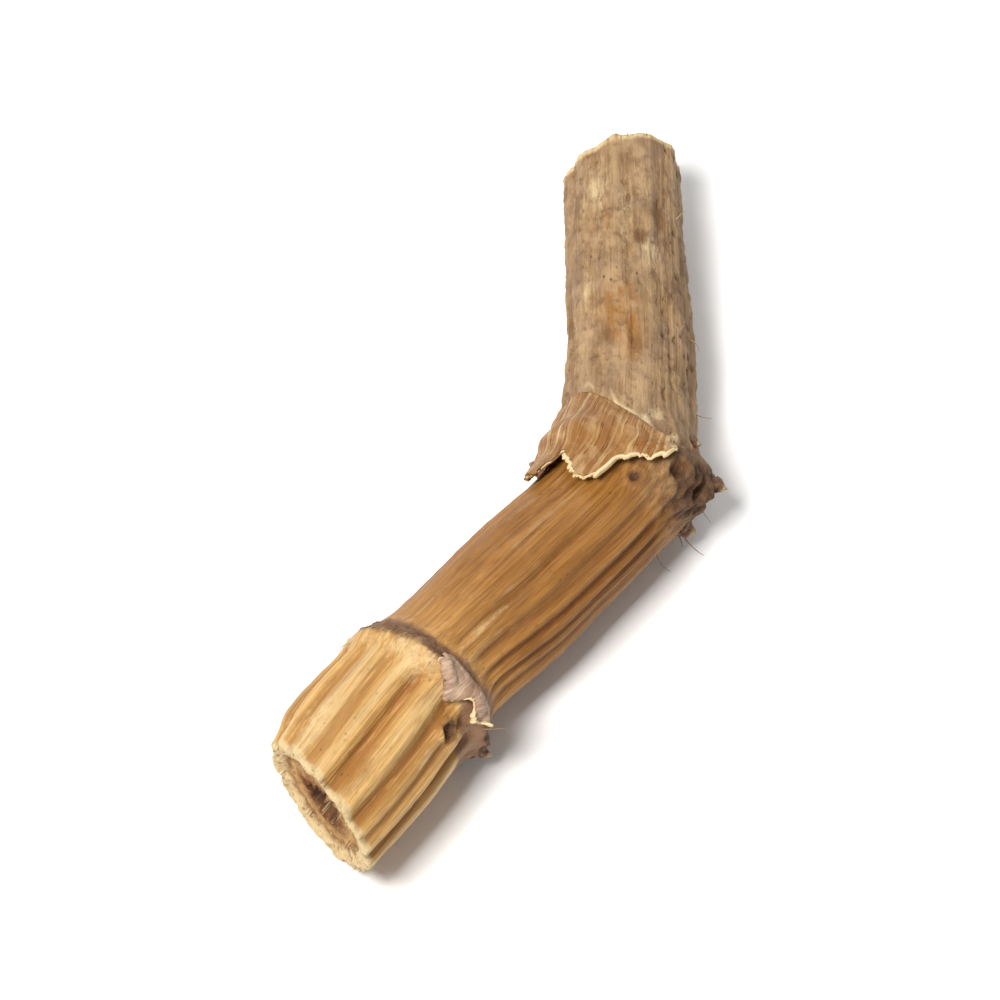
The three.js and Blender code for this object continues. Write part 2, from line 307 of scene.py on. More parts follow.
PALE_STAINS_AND_HIGHLIGHTS = (
    # Painted highlight, partly on worn skin: the rows at 16.3, 15.5 and 14.7 mm, at 14.0 mm and 128
    # degrees, and at 5.2, 3.25 and 1.3 mm.
    (16.3, 120, 0.7, 0.26, 0.8),
    (15.5, 90, 0.8, 0.14, 0.7),
    (14.7, 68, 0.4, 0.26, 0.8),
    (14.0, 128, 0.7, 0.16, 0.6),
    (10.78, 66, 0.18, 0.18, 1.0),
    (5.2, 64, 0.8, 0.07, 0.6),
    (3.25, 82, 0.3, 0.26, 0.8),
    (1.3, 118, 1.0, 0.3, 0.7),
    (2.2, 30, 0.7, 0.12, 0.7),
    (14.0, 250, 0.6, 0.2, 0.8),
)
# Heights on the skin: the dark stains, the ridge at the upper leaf's foot, and the pores.
STAIN_DEPTH = 0.06
COLLAR_HEIGHT = 0.04
PORE_DEPTH = 0.16

# Noise on the skin: how fine it is round the stem and along it, and a seed.
COARSE_RIBS = (9, 0.22, 3)
FINE_RIBS = (17, 0.3, 7)
WRINKLES = (2.4, 5.5, 11)
COARSE_CRUST = (7, 5, 17)
MEDIUM_CRUST = (12, 9, 19)
FINE_CRUST = (19, 15, 29)
PORES = (8, 6, 23)
CRUST_WANDER = (2.0, 0.8, 31)
RING_WANDER = (2.6, 0.9, 47)
COLLAR_WANDER = (4.0, 1.5, 37)
COLLAR_GAPS = (3.2, 0.6, 43)

# Crust beyond the joints' rings, at a bud and round the roots: place, angle, half-length and
# half-width in degrees.
BUD_CRUST = (2.95, 28, 0.24, 10)
ROOT_CRUST = (UPPER_JOINT.place - 0.1, 8, 0.62, 52)

# Names of the numbers that the meshes hold for the materials.
SKIN_MARKS = (
    *("furrow", "relief", "crust", "pith", "collar"),
    *("dark_stain", "warm_stain", "pale_stain", "ring"),
)
LEAF_MARKS = ("torn", "relief")
ROOT_MARKS = ("pith",)
# Depths of furrow and pit that count as full in these marks, and the span of heights in relief.
FULL_FURROW = 0.16
FULL_PIT = 0.1
FULL_PIT_CRUST = 0.12
RELIEF_SPAN = 0.09

# Noise in the materials: its scales, detail and roughness.
SKIN_PATTERNS = {
    "wander": ((1.6, 1.6, 0.7), 2.0, 0.55),
    "bands": ((3.6, 3.6, 0.22), 3.0, 0.55),
    "streaks": ((9, 9, 0.3), 4.0, 0.6),
    "fibres": ((21, 21, 0.5), 3.0, 0.6),
    "blotches": ((1.7, 1.7, 0.9), 4.0, 0.6),
    "mottle": ((4.5, 4.5, 3.4), 5.0, 0.65),
    "patches": ((2.0, 2.0, 1.3), 3.0, 0.6),
    "grey": ((1.3, 1.3, 0.8), 3.0, 0.55),
    "soil": ((7, 7, 3.5), 4.0, 0.7),
    "wear": ((12, 12, 1.3), 4.0, 0.7),
    "crumbs": ((6, 6, 3.5), 5.0, 0.7),
    "grit": ((20, 20, 13), 5.0, 0.75),
    "ragged": ((8, 8, 4), 4.0, 0.7),
    "spread": ((1.1, 1.1, 1.1), 2.0, 0.55),
    "face_fibres": ((8, 8, 5), 5.0, 0.7),
}
LEAF_PATTERNS = {
    "veins": ((15, 0.4, 1), 3.0, 0.6),
    "fibres": ((36, 0.9, 1), 2.0, 0.6),
    "blotches": ((2.2, 1.6, 1), 4.0, 0.6),
    "fray": ((12, 3, 1), 4.0, 0.65),
}
ROOT_PATTERNS = {"wrinkles": ((12, 12, 9), 4.0, 0.65)}
# Heights of the materials' finest relief.
SKIN_BUMP = 0.04
LEAF_BUMP = 0.03
ROOT_BUMP = 0.03

# Sockets that share their name with another of their node, by number.
MIX_SHARE, MIX_FIRST, MIX_SECOND, MIX_RESULT = 0, 6, 7, 2
RANGE_VALUE, RANGE_LOW, RANGE_HIGH = 0, 1, 2

SENSOR_WIDTH = 36.0
GROUND_HALF = 1.5
WORLD_STRENGTH = 0.3
# Lights: name, place, size, power and colour.
LIGHTS = (
    ("key", (-0.11, -0.11, 0.26), 0.11, 1.18, (1.0, 0.985, 0.96)),
    ("fill", (0.22, -0.16, 0.16), 0.2, 0.05, (0.97, 0.985, 1.0)),
    ("back", (0.02, 0.26, 0.2), 0.16, 0.35, (1.0, 1.0, 1.0)),
)


def screen_colour(red, green, blue):
    """Turns a colour as a screen shows it, 0 to 255, into the linear colour that a shader reads."""
    return tuple(
        channel / 255 / 12.92 if channel <= 10.3 else ((channel / 255 + 0.055) / 1.055) ** 2.4
        for channel in (red, green, blue)
    )


def colour_property(name, description, red, green, blue):
    """A colour setting whose default is given as a screen shows it, 0 to 255."""
    colour = screen_colour(red, green, blue)
    return FloatVectorProperty(
        name=name, description=description, subtype="COLOR", size=3, min=0.0, max=1.0, default=colour
    )


def length_property(name, description, millimetres):
    """A length setting whose default is given in millimetres."""
    return FloatProperty(
        name=name, description=description, unit="LENGTH", min=0.0, precision=6, default=millimetres * MM
    )


def count_property(name, description, default, least, most):
    """A setting for a number of things."""
    return IntProperty(name=name, description=description, default=default, min=least, max=most)


class RhizomeStemSettings(bpy.types.PropertyGroup):
    """Sizes of the stem's mesh, small relief and hollows."""

    sides: count_property("Sides", "Corners of a ring round the stem", 216, 24, 240)
    rings: count_property("Rings", "Rings along the stem", 390, 60, 420)
    rib_height: length_property("Rib height", "Height of the fine ribs along the skin", 0.032)
    wrinkle_height: length_property("Wrinkle height", "Height of the wrinkles across the skin", 0.03)
    crust_height: length_property("Crust height", "Height of the rough crust on the joints", 0.12)
    near_hollow: length_property("Near hollow", "Half-width of the hollow at the slanted cut", 0.46)
    far_hollow: length_property("Far hollow", "Half-width of the hollow at the far cut", 0.4)


class RhizomeSkinSettings(bpy.types.PropertyGroup):
    """Colours of the skin, joints and cut faces."""

    lower: colour_property("Lower stretch", "Straw gold of the furrowed stretch", 194, 152, 90)
    middle: colour_property("Middle stretch", "Orange gold of the smooth stretch", 148, 100, 43)
    upper: colour_property("Upper stretch", "Greyish tan of the rough stretch", 154, 124, 88)
    furrow: colour_property("Furrows", "Brown in the furrows", 116, 68, 29)
    amber: colour_property("Amber", "Amber in the furrows of the furrowed stretch", 150, 96, 38)
    ring: colour_property("Ring", "Purple brown of the soft ring at the lower joint", 122, 86, 66)
    # The ridges' pale colour also serves as painted highlight on ridge tops and in the pale stains.
    ridge: colour_property("Ridges", "Pale tops of the ridges", 240, 216, 168)
    joint: colour_property("Joints", "Brown crust of the joints", 92, 64, 46)
    joint_grey: colour_property("Joint bloom", "Purple grey bloom on the joints", 136, 112, 90)
    # Flecks are real dark flecks and soil, and also paint shade in the crust's low places and inside the
    # cut hollows.
    fleck_and_shade: colour_property("Flecks", "Dark flecks and soil", 70, 44, 28)
    # Painted highlight: a paler gold all round the stem just past the lower joint.
    sheath_highlight: colour_property("Sheath", "Pale gold just past the lower joint", 174, 126, 66)
    pith: colour_property("Pith", "Cream of the cut faces", 222, 196, 148)
    # Pith shade is also partly painted shade over the cut faces.
    pith_shade: colour_property("Pith shade", "Tan between the pith's fibres", 150, 106, 64)


class RhizomeLeafSettings(bpy.types.PropertyGroup):
    """Sizes and colours of the torn scale leaves."""

    curl: length_property("Curl", "How far the torn edge curls away from the stem", 0.11)
    vein_height: length_property("Vein height", "Height of the leaf's veins", 0.016)
    body: colour_property("Leaf", "Golden tan of the leaf", 144, 98, 42)
    vein: colour_property("Veins", "Brown between the veins", 124, 78, 38)
    # The torn edge's cream is also painted highlight along the leaves' side edges.
    torn: colour_property("Torn edge", "Cream of the torn edge", 234, 206, 158)
    dry: colour_property("Dry leaf", "Greyish brown of the lower leaf", 166, 138, 118)


class RhizomeRootSettings(bpy.types.PropertyGroup):
    """Number, size and colours of the root stubs, rootlets and loose fibres."""

    rootlets: count_property("Rootlets", "Number of fine rootlets", 18, 0, 80)
    rootlet_width: length_property("Rootlet width", "Half-width of a rootlet at its base", 0.016)
    fibres: count_property("Fibres", "Loose fibres at each cut end", 40, 0, 120)
    fibre_width: length_property("Fibre width", "Half-width of a fibre at its base", 0.016)
    bark: colour_property("Root bark", "Brown of the root stubs", 116, 80, 54)
    core: colour_property("Root core", "Pale core of a broken root", 206, 178, 136)


class RhizomeStageSettings(bpy.types.PropertyGroup):
    """Camera and ground."""

    elevation: FloatProperty(
        name="Elevation",
        description="Angle at which the camera looks down",
        subtype="ANGLE",
        default=math.radians(53),
    )
    distance: length_property("Distance", "Distance from the camera to the piece", 300)
    picture_width: length_property("Picture width", "Width of what the camera sees at the piece", 18.6)
    ground: FloatVectorProperty(
        name="Ground",
        description="Colour of the plain ground",
        subtype="COLOR",
        size=3,
        min=0.0,
        max=1.0,
        default=(0.92, 0.92, 0.92),
    )


def clipped(value):
    """A value held between 0 and 1."""
    return min(max(value, 0.0), 1.0)


def smooth_step(start, end, value):
    """0 before start, 1 after end, and an eased step between them."""
    share = clipped((value - start) / (end - start))
    return share * share * (3 - 2 * share)


def bump(value, middle, spread):
    """A round bump of height 1."""
    return math.exp(-(((value - middle) / spread) ** 2))


def noise_at(x, y, z):
    """Smooth noise at a point, from -1 to 1."""
    return noise.noise(Vector((x, y, z)))


def angle_between(first, second):
    """The signed difference of two angles in degrees, from -180 to 180."""
    return (first - second + 180) % 360 - 180


def find_span(keys, key):
    """The span between two sorted keys that holds a key, and the key's share of it."""
    low = min(max(bisect.bisect_right(keys, key) - 1, 0), len(keys) - 2)
    return low, (key - keys[low]) / (keys[low + 1] - keys[low])


class StemLine:
    """The stem's middle line: a smooth curve through the course, measured along its length."""

    STEPS = 80
    TANGENT_REACH = 0.04

    def __init__(self, course, start):
        points = [Vector((x + start[0], y + start[1], z)) for x, y, z in course]
        points.insert(0, 2 * points[0] - points[1])
        points.append(2 * points[-1] - points[-2])
        self.points = [points[1]]
        for i in range(1, len(points) - 2):
            for step in range(1, self.STEPS + 1):
                self.points.append(self.curve_point(points[i - 1 : i + 3], step / self.STEPS))
        self.places = [0.0]
        for first, second in zip(self.points, self.points[1:]):
            self.places.append(self.places[-1] + (second - first).length)
        self.length = self.places[-1]

    @staticmethod
    def curve_point(around, share):
        """A point between the middle two of four points, by the Catmull-Rom rule."""
        before, start, end, after = around
        leave = (end - before) * 0.5
        arrive = (after - start) * 0.5
        return (
            start
            + leave * share
            + (3 * (end - start) - 2 * leave - arrive) * share**2
            + (2 * (start - end) + leave + arrive) * share**3
        )

    def point(self, place):
        """The point at a place. Both ends run on straight."""
        low, share = find_span(self.places, place)
        return self.points[low].lerp(self.points[low + 1], share)

    @functools.lru_cache(maxsize=4096)
    def frame_at(self, place):
        """Centre, level tangent and level right-hand direction at a place."""
        tangent = self.point(place + self.TANGENT_REACH) - self.point(place - self.TANGENT_REACH)
        tangent = Vector((tangent.x, tangent.y, 0)).normalized()
        return self.point(place), tangent, Vector((tangent.y, -tangent.x, 0))


LINE = StemLine(COURSE, COURSE_START)


@functools.lru_cache(maxsize=4096)
def girth_at(place):
    """The stem's half-width without its relief."""
    value = GIRTH[0][1]
    for (start_place, start), (end_place, end) in zip(GIRTH, GIRTH[1:]):
        if place > start_place:
            value = start + (end - start) * smooth_step(start_place, end_place, place)
    return value


def past_joint(joint, span, place):
    """0 before a span that is measured from a joint, 1 after it, and an eased step in it."""
    start, end = span
    return smooth_step(joint.place + start, joint.place + end, place)


@functools.lru_cache(maxsize=4096)
def stretch_shares(place):
    """Share of each stretch's furrows at a place: lower, middle, upper."""
    lower = 1 - past_joint(LOWER_JOINT, LOWER_FURROWS_END, place)
    middle = past_joint(LOWER_JOINT, MIDDLE_FURROWS_START, place)
    middle *= 1 - past_joint(UPPER_JOINT, MIDDLE_FURROWS_END, place)
    upper = past_joint(UPPER_JOINT, UPPER_FURROWS_START, place)
    return lower, middle, upper


def furrow_depth(furrows, angle):
    """Depth of a stretch's furrows at an angle."""
    return sum(
        deepest * bump(angle_between(angle, middle), 0, width) for middle, deepest, width in furrows
    )


def furrows_at(place, angle):
    """Depth of the furrows at a place and angle."""
    sway = FURROW_SWAY * math.sin(2 * math.pi * place / FURROW_SWAY_LENGTH)
    depth = 0.0
    for share, (furrows, sways) in zip(stretch_shares(place), STRETCHES):
        if share:
            depth += share * furrow_depth(furrows, angle + sways * sway)
    return depth


def unevenness(place, angle):
    """How far the section's slow waves stand out."""
    turn = math.radians(angle)
    return sum(
        height * math.sin(waves * turn + twist * place + start)
        for waves, height, twist, start in UNEVENNESS
    )


def joint_swelling(joint, place, angle):
    """Height of a joint's swelling."""
    lean = joint.lean * math.cos(math.radians(angle_between(angle, joint.side)))
    return joint.swelling * (1 + lean) * bump(place, joint.place, joint.half_length)


def round_skin(place, angle, side):
    """Distance on the skin, round the stem, from one angle to another."""
    return math.radians(angle_between(angle, side)) * girth_at(place)


def wart_height(place, angle):
    """Height of the root warts."""
    height = 0.0
    for at, side, radius, top in WARTS:
        if abs(place - at) < 3 * radius:
            height += top * bump(math.hypot(place - at, round_skin(place, angle, side)), 0, radius)
    return height


def skin_radius(place, angle):
    """Half-width of the skin with its main relief, as the solid has it."""
    swelling = joint_swelling(LOWER_JOINT, place, angle) + joint_swelling(UPPER_JOINT, place, angle)
    raised = swelling + unevenness(place, angle) + wart_height(place, angle)
    return girth_at(place) + raised - furrows_at(place, angle)


def skin_noise(place, angle, pattern):
    """Smooth noise on the skin, from -1 to 1."""
    fineness_round, fineness_along, seed = pattern
    turn = math.radians(angle)
    x = math.cos(turn) * fineness_round + seed
    return noise_at(x, math.sin(turn) * fineness_round, place * fineness_along)


def crust_patch(place, angle, patch):
    """How much of a patch of crust lies here, from 0 to 1."""
    at, side, half_length, half_angle = patch
    return bump(place, at, half_length) * bump(angle_between(angle, side), 0, half_angle)


def joint_cover(place, angle):
    """How much of the brown crust of the joints lies here, from 0 to 1."""
    wander = 0.16 * skin_noise(place, angle, CRUST_WANDER)
    from_lower = abs(place + wander - LOWER_JOINT.place - 0.16)
    under = smooth_step(70, 130, abs(angle_between(angle, TOP)))
    lower_ring_cover = (0.5 + 0.4 * under) * (1 - smooth_step(0.12, 0.34, from_lower))
    bud = 0.8 * crust_patch(place, angle, BUD_CRUST)
    roots = crust_patch(place + 2 * wander, angle, ROOT_CRUST)
    off_leaf = smooth_step(60, 100, abs(angle_between(angle, TOP + 10)))
    upper_ring_cover = 0.8 * bump(place + wander, UPPER_JOINT.place + 0.2, 0.32) * off_leaf
    return min(max(lower_ring_cover, bud, roots, upper_ring_cover), 1.0)


def lower_ring(place, angle):
    """How much of the lower joint's soft ring lies here, from 0 to 1. It widens on the right side."""
    wide = bump(angle_between(angle, RIGHT - 8), 0, 48)
    wander = 0.14 * skin_noise(place, angle, RING_WANDER)
    half_length = 0.13 + 0.5 * wide
    away = abs(place + wander - LOWER_JOINT.place - 0.24 + 0.3 * wide)
    return 1 - smooth_step(half_length - 0.08, half_length + 0.2, away)


def leaf_root(row, share):
    """Place along the stem where a leaf grows from the skin, at a share of its width."""
    start, end = row["root"]
    return start + (end - start) * smooth_step(0, 0.7, share)


def leaf_collar(place, angle):
    """How much of the pale ridge at the upper leaf's foot lies here, from 0 to 1."""
    first, last = UPPER_LEAF["edges"]
    share = angle_between(angle, first) / (last - first)
    wander = 0.3 * skin_noise(place, angle, COLLAR_WANDER)
    broken = smooth_step(-0.25, 0.2, skin_noise(place, angle, COLLAR_GAPS))
    ridge = bump(place + wander, leaf_root(UPPER_LEAF, share) + 0.16, 0.15)
    return ridge * broken * smooth_step(-0.14, 0.04, share) * (1 - smooth_step(0.4, 0.75, share))


def stain(rows, place, angle):
    """Strength of the stains of a list here, from 0 to 1."""
    strength = 0.0
    for at, side, half_length, half_width, most in rows:
        if abs(place - at) < 3 * half_length:
            across = round_skin(place, angle, side)
            strength += most * bump(place, at, half_length) * bump(across, 0, half_width)
    return min(strength, 1.0)


def fine_relief(place, angle, stem):
    """Height of the small relief: ribs along the stem, wrinkles across it and crust on the joints."""
    _, _, upper = stretch_shares(place)
    cover = joint_cover(place, angle)
    ribs = skin_noise(place, angle, COARSE_RIBS) + 0.6 * skin_noise(place, angle, FINE_RIBS)
    wrinkles = skin_noise(place, angle, WRINKLES) * (0.25 + 0.75 * upper + cover)
    crust = skin_noise(place, angle, COARSE_CRUST) + 0.6 * skin_noise(place, angle, MEDIUM_CRUST)
    crust += 0.3 * skin_noise(place, angle, FINE_CRUST)
    pores = upper * min(0.0, skin_noise(place, angle, PORES) + 0.32)
    return (
        COLLAR_HEIGHT * leaf_collar(place, angle)
        - STAIN_DEPTH * stain(DARK_STAINS_AND_SHADE, place, angle)
        + ribs * stem.rib_height / MM
        + wrinkles * stem.wrinkle_height / MM
        + cover * crust * stem.crust_height / MM
        + pores * PORE_DEPTH
    )


def pit_depth(place, angle):
    """Depth of the round pits where roots came away, with a low rim round each."""
    depth = 0.0
    for at, side, radius in PITS:
        away = math.hypot(place - at, round_skin(place, angle, side))
        pit = 1.1 * radius * bump(away, 0, 0.72 * radius)
        rim = 0.22 * radius * bump(away, 1.25 * radius, 0.3 * radius)
        depth += pit - rim
    return depth


def cut_place(cut, side, height):
    """Where a slanted cut lies, at a distance to the right of the middle line and above it."""
    return cut.place + cut.per_right * side + cut.per_up * height


def cut_shift(place, side, height):
    """How far a point near a cut end moves along the stem, to lie on the slanted cut."""
    near_share = 1 - smooth_step(0, NEAR_CUT.reach, place)
    far_share = smooth_step(LINE.length - FAR_CUT.reach, LINE.length, place)
    return cut_place(NEAR_CUT, side, height) * near_share + cut_place(FAR_CUT, side, height) * far_share


def stem_point(place, angle, radius):
    """A point at a place along the stem, an angle round it and a distance from its middle line."""
    centre, tangent, right = LINE.frame_at(place)
    side = radius * math.cos(math.radians(angle))
    height = radius * HEIGHT_TO_WIDTH * math.sin(math.radians(angle))
    return centre + right * side + UP * height + tangent * cut_shift(place, side, height)


def straight_point(place, angle, radius):
    """Where the same point would be on a straightened stem, for patterns that follow the skin."""
    turn = math.radians(angle)
    return Vector((radius * math.cos(turn), radius * math.sin(turn), place))


def on_ground(point):
    """Presses a point that would lie below the ground up to it."""
    return Vector((point.x, point.y, max(point.z, 0.0)))


def mark_layers(mesh, names):
    """New layers of a mesh: places on a straightened stem, and a number for each mark."""
    layers = {"straight": mesh.verts.layers.float_vector.new("straight")}
    for name in names:
        layers[name] = mesh.verts.layers.float.new(name)
    return layers


def set_marks(vert, layers, **marks):
    """Notes on a corner what the materials read there."""
    for name, value in marks.items():
        vert[layers[name]] = value


def extrude_ring(mesh, edges):
    """Grows a ring of faces from open edges, and gives its new corners and open edges."""
    grown = bmesh.ops.extrude_edge_only(mesh, edges=edges)["geom"]
    corners = [item for item in grown if isinstance(item, bmesh.types.BMVert)]
    open_edges = [item for item in grown if isinstance(item, bmesh.types.BMEdge) and item.is_boundary]
    return corners, open_edges


def finish_piece(name, mesh, material, slot, *nodes):
    """Turns a bmesh's faces outwards, makes it an object in metres and fastens it to the frame."""
    bmesh.ops.recalc_face_normals(mesh, faces=mesh.faces)
    bmesh.ops.scale(mesh, vec=(MM, MM, MM), verts=mesh.verts)
    data = bpy.data.meshes.new(name)
    mesh.to_mesh(data)
    mesh.free()
    data.materials.append(material)
    data.shade_smooth()
    piece = bpy.data.objects.new(name, data)
    bpy.context.scene.collection.objects.link(piece)
    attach(piece, ROOT_BODY)
    if nodes:
        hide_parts(*nodes)


class Wire:
    """An output of a material's node. Python's operators on it add Math nodes."""

    def __init__(self, finish, socket):
        self.finish = finish
        self.socket = socket

    def math(self, operation, *values):
        """A Math node on these values."""
        return self.finish.node("Math", {"operation": operation}, dict(enumerate(values)))

    def __add__(self, other):
        return self.math("ADD", self, other)

    def __sub__(self, other):
        return self.math("SUBTRACT", self, other)

    def __rsub__(self, other):
        return self.math("SUBTRACT", other, self)

    def __mul__(self, other):
        return self.math("MULTIPLY", self, other)

    __radd__ = __add__
    __rmul__ = __mul__

    def clamped(self, low, high):
        """0 up to low, 1 from high, and an even rise between them."""
        settings = {"clamp": True, "interpolation_type": "LINEAR"}
        inputs = {RANGE_VALUE: self, RANGE_LOW: low, RANGE_HIGH: high}
        return self.finish.node("MapRange", settings, inputs)


def as_colour(value):
    """A wire as it is, or three numbers with an alpha of 1."""
    return value if isinstance(value, Wire) else (*value, 1.0)


class Finish:
    """A material and the few calls that its shader is written with."""

    def __init__(self, name):
        self.material = bpy.data.materials.new(name)
        self.material.use_nodes = True
        self.tree = self.material.node_tree
        self.tree.nodes.clear()

    def add(self, kind, settings, inputs):
        """Adds a node, sets it and its ramp's stops, and links or sets its inputs."""
        node = self.tree.nodes.new("ShaderNode" + kind)
        for name, value in settings.items():
            if name == "stops":
                self.set_stops(node.color_ramp, value)
            else:
                setattr(node, name, value)
        for name, value in inputs.items():
            if isinstance(value, Wire):
                self.tree.links.new(value.socket, node.inputs[name])
            else:
                node.inputs[name].default_value = value
        return node

    def node(self, kind, settings, inputs, output=0):
        """Adds a node and gives one of its outputs."""
        return Wire(self, self.add(kind, settings, inputs).outputs[output])

    @staticmethod
    def set_stops(ramp, stops):
        """Gives a colour ramp these places and colours."""
        while len(ramp.elements) < len(stops):
            ramp.elements.new(1.0)
        for element, (place, colour) in zip(ramp.elements, stops):
            element.position = place
            element.color = (*colour, 1.0)

    def attribute(self, name, output):
        """What the mesh holds under a name: as output Fac a number, as output Vector a vector."""
        return self.node("Attribute", {"attribute_name": name}, {}, output=output)

    def marks(self, names):
        """The numbers that the mesh holds under these names."""
        return SimpleNamespace(**{name: self.attribute(name, "Fac") for name in names})

    def scaled(self, vector, scale):
        """A vector or colour times three numbers."""
        return self.node("VectorMath", {"operation": "MULTIPLY"}, {0: vector, 1: scale})

    def patterns(self, vector, rows):
        """Noise on a vector, one pattern for each name with its scales, detail and roughness."""
        made = {}
        for name, (scale, detail, roughness) in rows.items():
            inputs = {"Vector": self.scaled(vector, scale), "Scale": 1.0}
            inputs.update({"Detail": detail, "Roughness": roughness})
            made[name] = self.node("TexNoise", {}, inputs)
        return SimpleNamespace(**made)

    def cells(self, vector, scale, randomness):
        """Distance to the middle of the nearest of many small cells."""
        inputs = {"Vector": self.scaled(vector, scale), "Scale": 1.0, "Randomness": randomness}
        return self.node("TexVoronoi", {}, inputs)

    def mix(self, first, second, share):
        """Mixes two colours."""
        inputs = {MIX_SHARE: share, MIX_FIRST: as_colour(first), MIX_SECOND: as_colour(second)}
        return self.node("Mix", {"data_type": "RGBA", "blend_type": "MIX"}, inputs, output=MIX_RESULT)

    def coats(self, colour, *coats):
        """A colour with coats laid on it in turn, each a colour and its share."""
        for tint, share in coats:
            colour = self.mix(colour, tint, share)
        return colour

    def surface(self, colour, roughness, height, bump_height, specular=0.5):
        """Ends the material in a Principled shader whose relief comes from height."""
        distance = bump_height * MM
        relief = self.node("Bump", {}, {"Strength": 1.0, "Distance": distance, "Height": height})
        inputs = {"Base Color": as_colour(colour), "Roughness": roughness, "Normal": relief}
        inputs["Specular IOR Level"] = specular
        self.add("OutputMaterial", {}, {"Surface": self.node("BsdfPrincipled", {}, inputs)})
        return self.material


class SkinFinish(Finish):
    """Straw skin with brown furrows, crusty joints, soil flecks and cream cut faces."""

    def __init__(self, skin):
        super().__init__("rhizome_skin")
        self.skin = skin
        self.mark = self.marks(SKIN_MARKS)
        straight = self.attribute("straight", "Vector")
        self.pattern = self.patterns(straight, SKIN_PATTERNS)
        self.specks = self.cells(straight, (5.5, 5.5, 3.2), 1.0)
        self.bundles = self.cells(straight, (6.0, 6.0, 0.3), 0.8)
        along = self.node("SeparateXYZ", {}, {"Vector": straight}, output="Z")
        self.place = (along + (self.pattern.wander - 0.5) * 1.2) * (1 / LINE.length)
        self.furrowed_part = 1 - self.past(3.3, 4.3)
        self.rough_part = self.past(9.6, 10.8)
        self.base = self.stretches()
        self.light = self.scaled(self.base, (1.4, 1.46, 1.6))
        self.dark = self.scaled(self.base, (0.5, 0.4, 0.3))

    def past(self, start, end):
        """0 up to one place, 1 from another, and an even rise between them."""
        return self.place.clamped(start / LINE.length, end / LINE.length)

    def stretches(self):
        """The straw colours along the stem, with a band of painted highlight just past the lower joint."""
        skin = self.skin
        places = (
            (0.0, skin.lower),
            (3.4, skin.lower),
            (4.3, skin.sheath_highlight),
            (5.8, skin.middle),
            (9.2, skin.middle),
            (10.7, skin.upper),
            (LINE.length, skin.upper),
        )
        stops = [(place / LINE.length, colour) for place, colour in places]
        return self.node("ValToRGB", {"stops": stops}, {"Fac": self.place})

    def grained(self):
        """The straw colours with light and dark grain and brown furrows, pale on the ridges and crests
        partly as painted highlight, and darker in the low relief as painted shade.
        """
        skin, mark, pattern, light, dark = self.skin, self.mark, self.pattern, self.light, self.dark
        ridges = mark.relief.clamped(0.6, 1.0) * (1 - mark.furrow) * (1 - self.place)
        crests_and_highlight = (1 - mark.furrow).clamped(0.75, 1.0) * (1 - pattern.bands).clamped(0.36, 0.6)
        deep = self.mix(skin.furrow, skin.amber, self.furrowed_part)
        return self.coats(
            self.base,
            (dark, (1 - pattern.bands).clamped(0.5, 0.72) * 0.4),
            (light, pattern.bands.clamped(0.5, 0.72) * 0.5),
            (dark, (1 - pattern.streaks).clamped(0.48, 0.66) * 0.4),
            (light, pattern.streaks.clamped(0.52, 0.7) * 0.5),
            (dark, pattern.blotches.clamped(0.52, 0.7) * 0.3),
            # Pale ridge tops and crests: the ridges' own paler colour with painted highlight on it; darker
            # low relief: painted shade.
            (skin.ridge, ridges * 0.55),
            (dark, (1 - mark.relief).clamped(0.52, 0.9) * 0.5),
            (skin.ridge, crests_and_highlight * self.furrowed_part * 0.4),
            (deep, mark.furrow.clamped(0.2, 0.9) * 0.85),
            (dark, mark.furrow.clamped(0.7, 1.0) * pattern.streaks.clamped(0.42, 0.6) * 0.6),
            (dark, (1 - pattern.fibres).clamped(0.5, 0.64) * 0.42),
            (light, pattern.fibres.clamped(0.53, 0.68) * 0.45),
        )

    def weathered(self, colour):
        """A colour with the mottle of the rough stretch, the stains (partly painted highlight and shade),
        the soft ring and the collar.
        """
        skin, mark, pattern, light, dark = self.skin, self.mark, self.pattern, self.light, self.dark
        rough_part = self.rough_part
        soil = pattern.soil - 0.5
        wear = pattern.wear - 0.5
        return self.coats(
            colour,
            (skin.joint_grey, pattern.grey.clamped(0.44, 0.62) * (0.08 + rough_part * 0.4)),
            (skin.middle, (mark.warm_stain + soil).clamped(0.2, 0.8) * 0.75),
            (dark, (1 - pattern.patches).clamped(0.52, 0.68) * rough_part * 0.35),
            (light, pattern.patches.clamped(0.5, 0.66) * rough_part * 0.65),
            (skin.joint, pattern.mottle.clamped(0.54, 0.7) * rough_part * 0.6),
            (light, (1 - pattern.mottle).clamped(0.56, 0.74) * rough_part * 0.5),
            (skin.ridge, (mark.pale_stain + (wear + soil) * 1.4).clamped(0.3, 1.2) * 0.6),
            (dark, (mark.dark_stain + (wear + soil) * 1.2).clamped(0.3, 0.8) * 0.95),
            (skin.ring, (mark.ring + soil).clamped(0.15, 0.85) * 0.8),
            (skin.ridge, (mark.collar + soil).clamped(0.3, 0.9) * 0.6),
        )

    def crust(self):
        """The crumbly crust of the joints, darker in its low places as painted shade and paler on its bumps
        as painted highlight.
        """
        skin, relief, grit = self.skin, self.mark.relief, self.pattern.grit
        return self.coats(
            skin.joint,
            (skin.joint_grey, self.pattern.crumbs.clamped(0.5, 0.68) * 0.8),
            (skin.fleck_and_shade, (1 - relief).clamped(0.42, 0.8) * 0.85),
            (skin.middle, relief.clamped(0.6, 1.0) * 0.35),
            (skin.fleck_and_shade, grit.clamped(0.5, 0.66) * 0.6),
            (skin.upper, (1 - grit).clamped(0.54, 0.7) * 0.5),
        )

    def cut_face_and_shade(self):
        """The fibrous face of a cut: cream at the rim, tan and straw round the hollow that partly paint the
        shade the face lies in, and painted shade darkening the inside of the hollow.
        """
        skin, pattern = self.skin, self.pattern
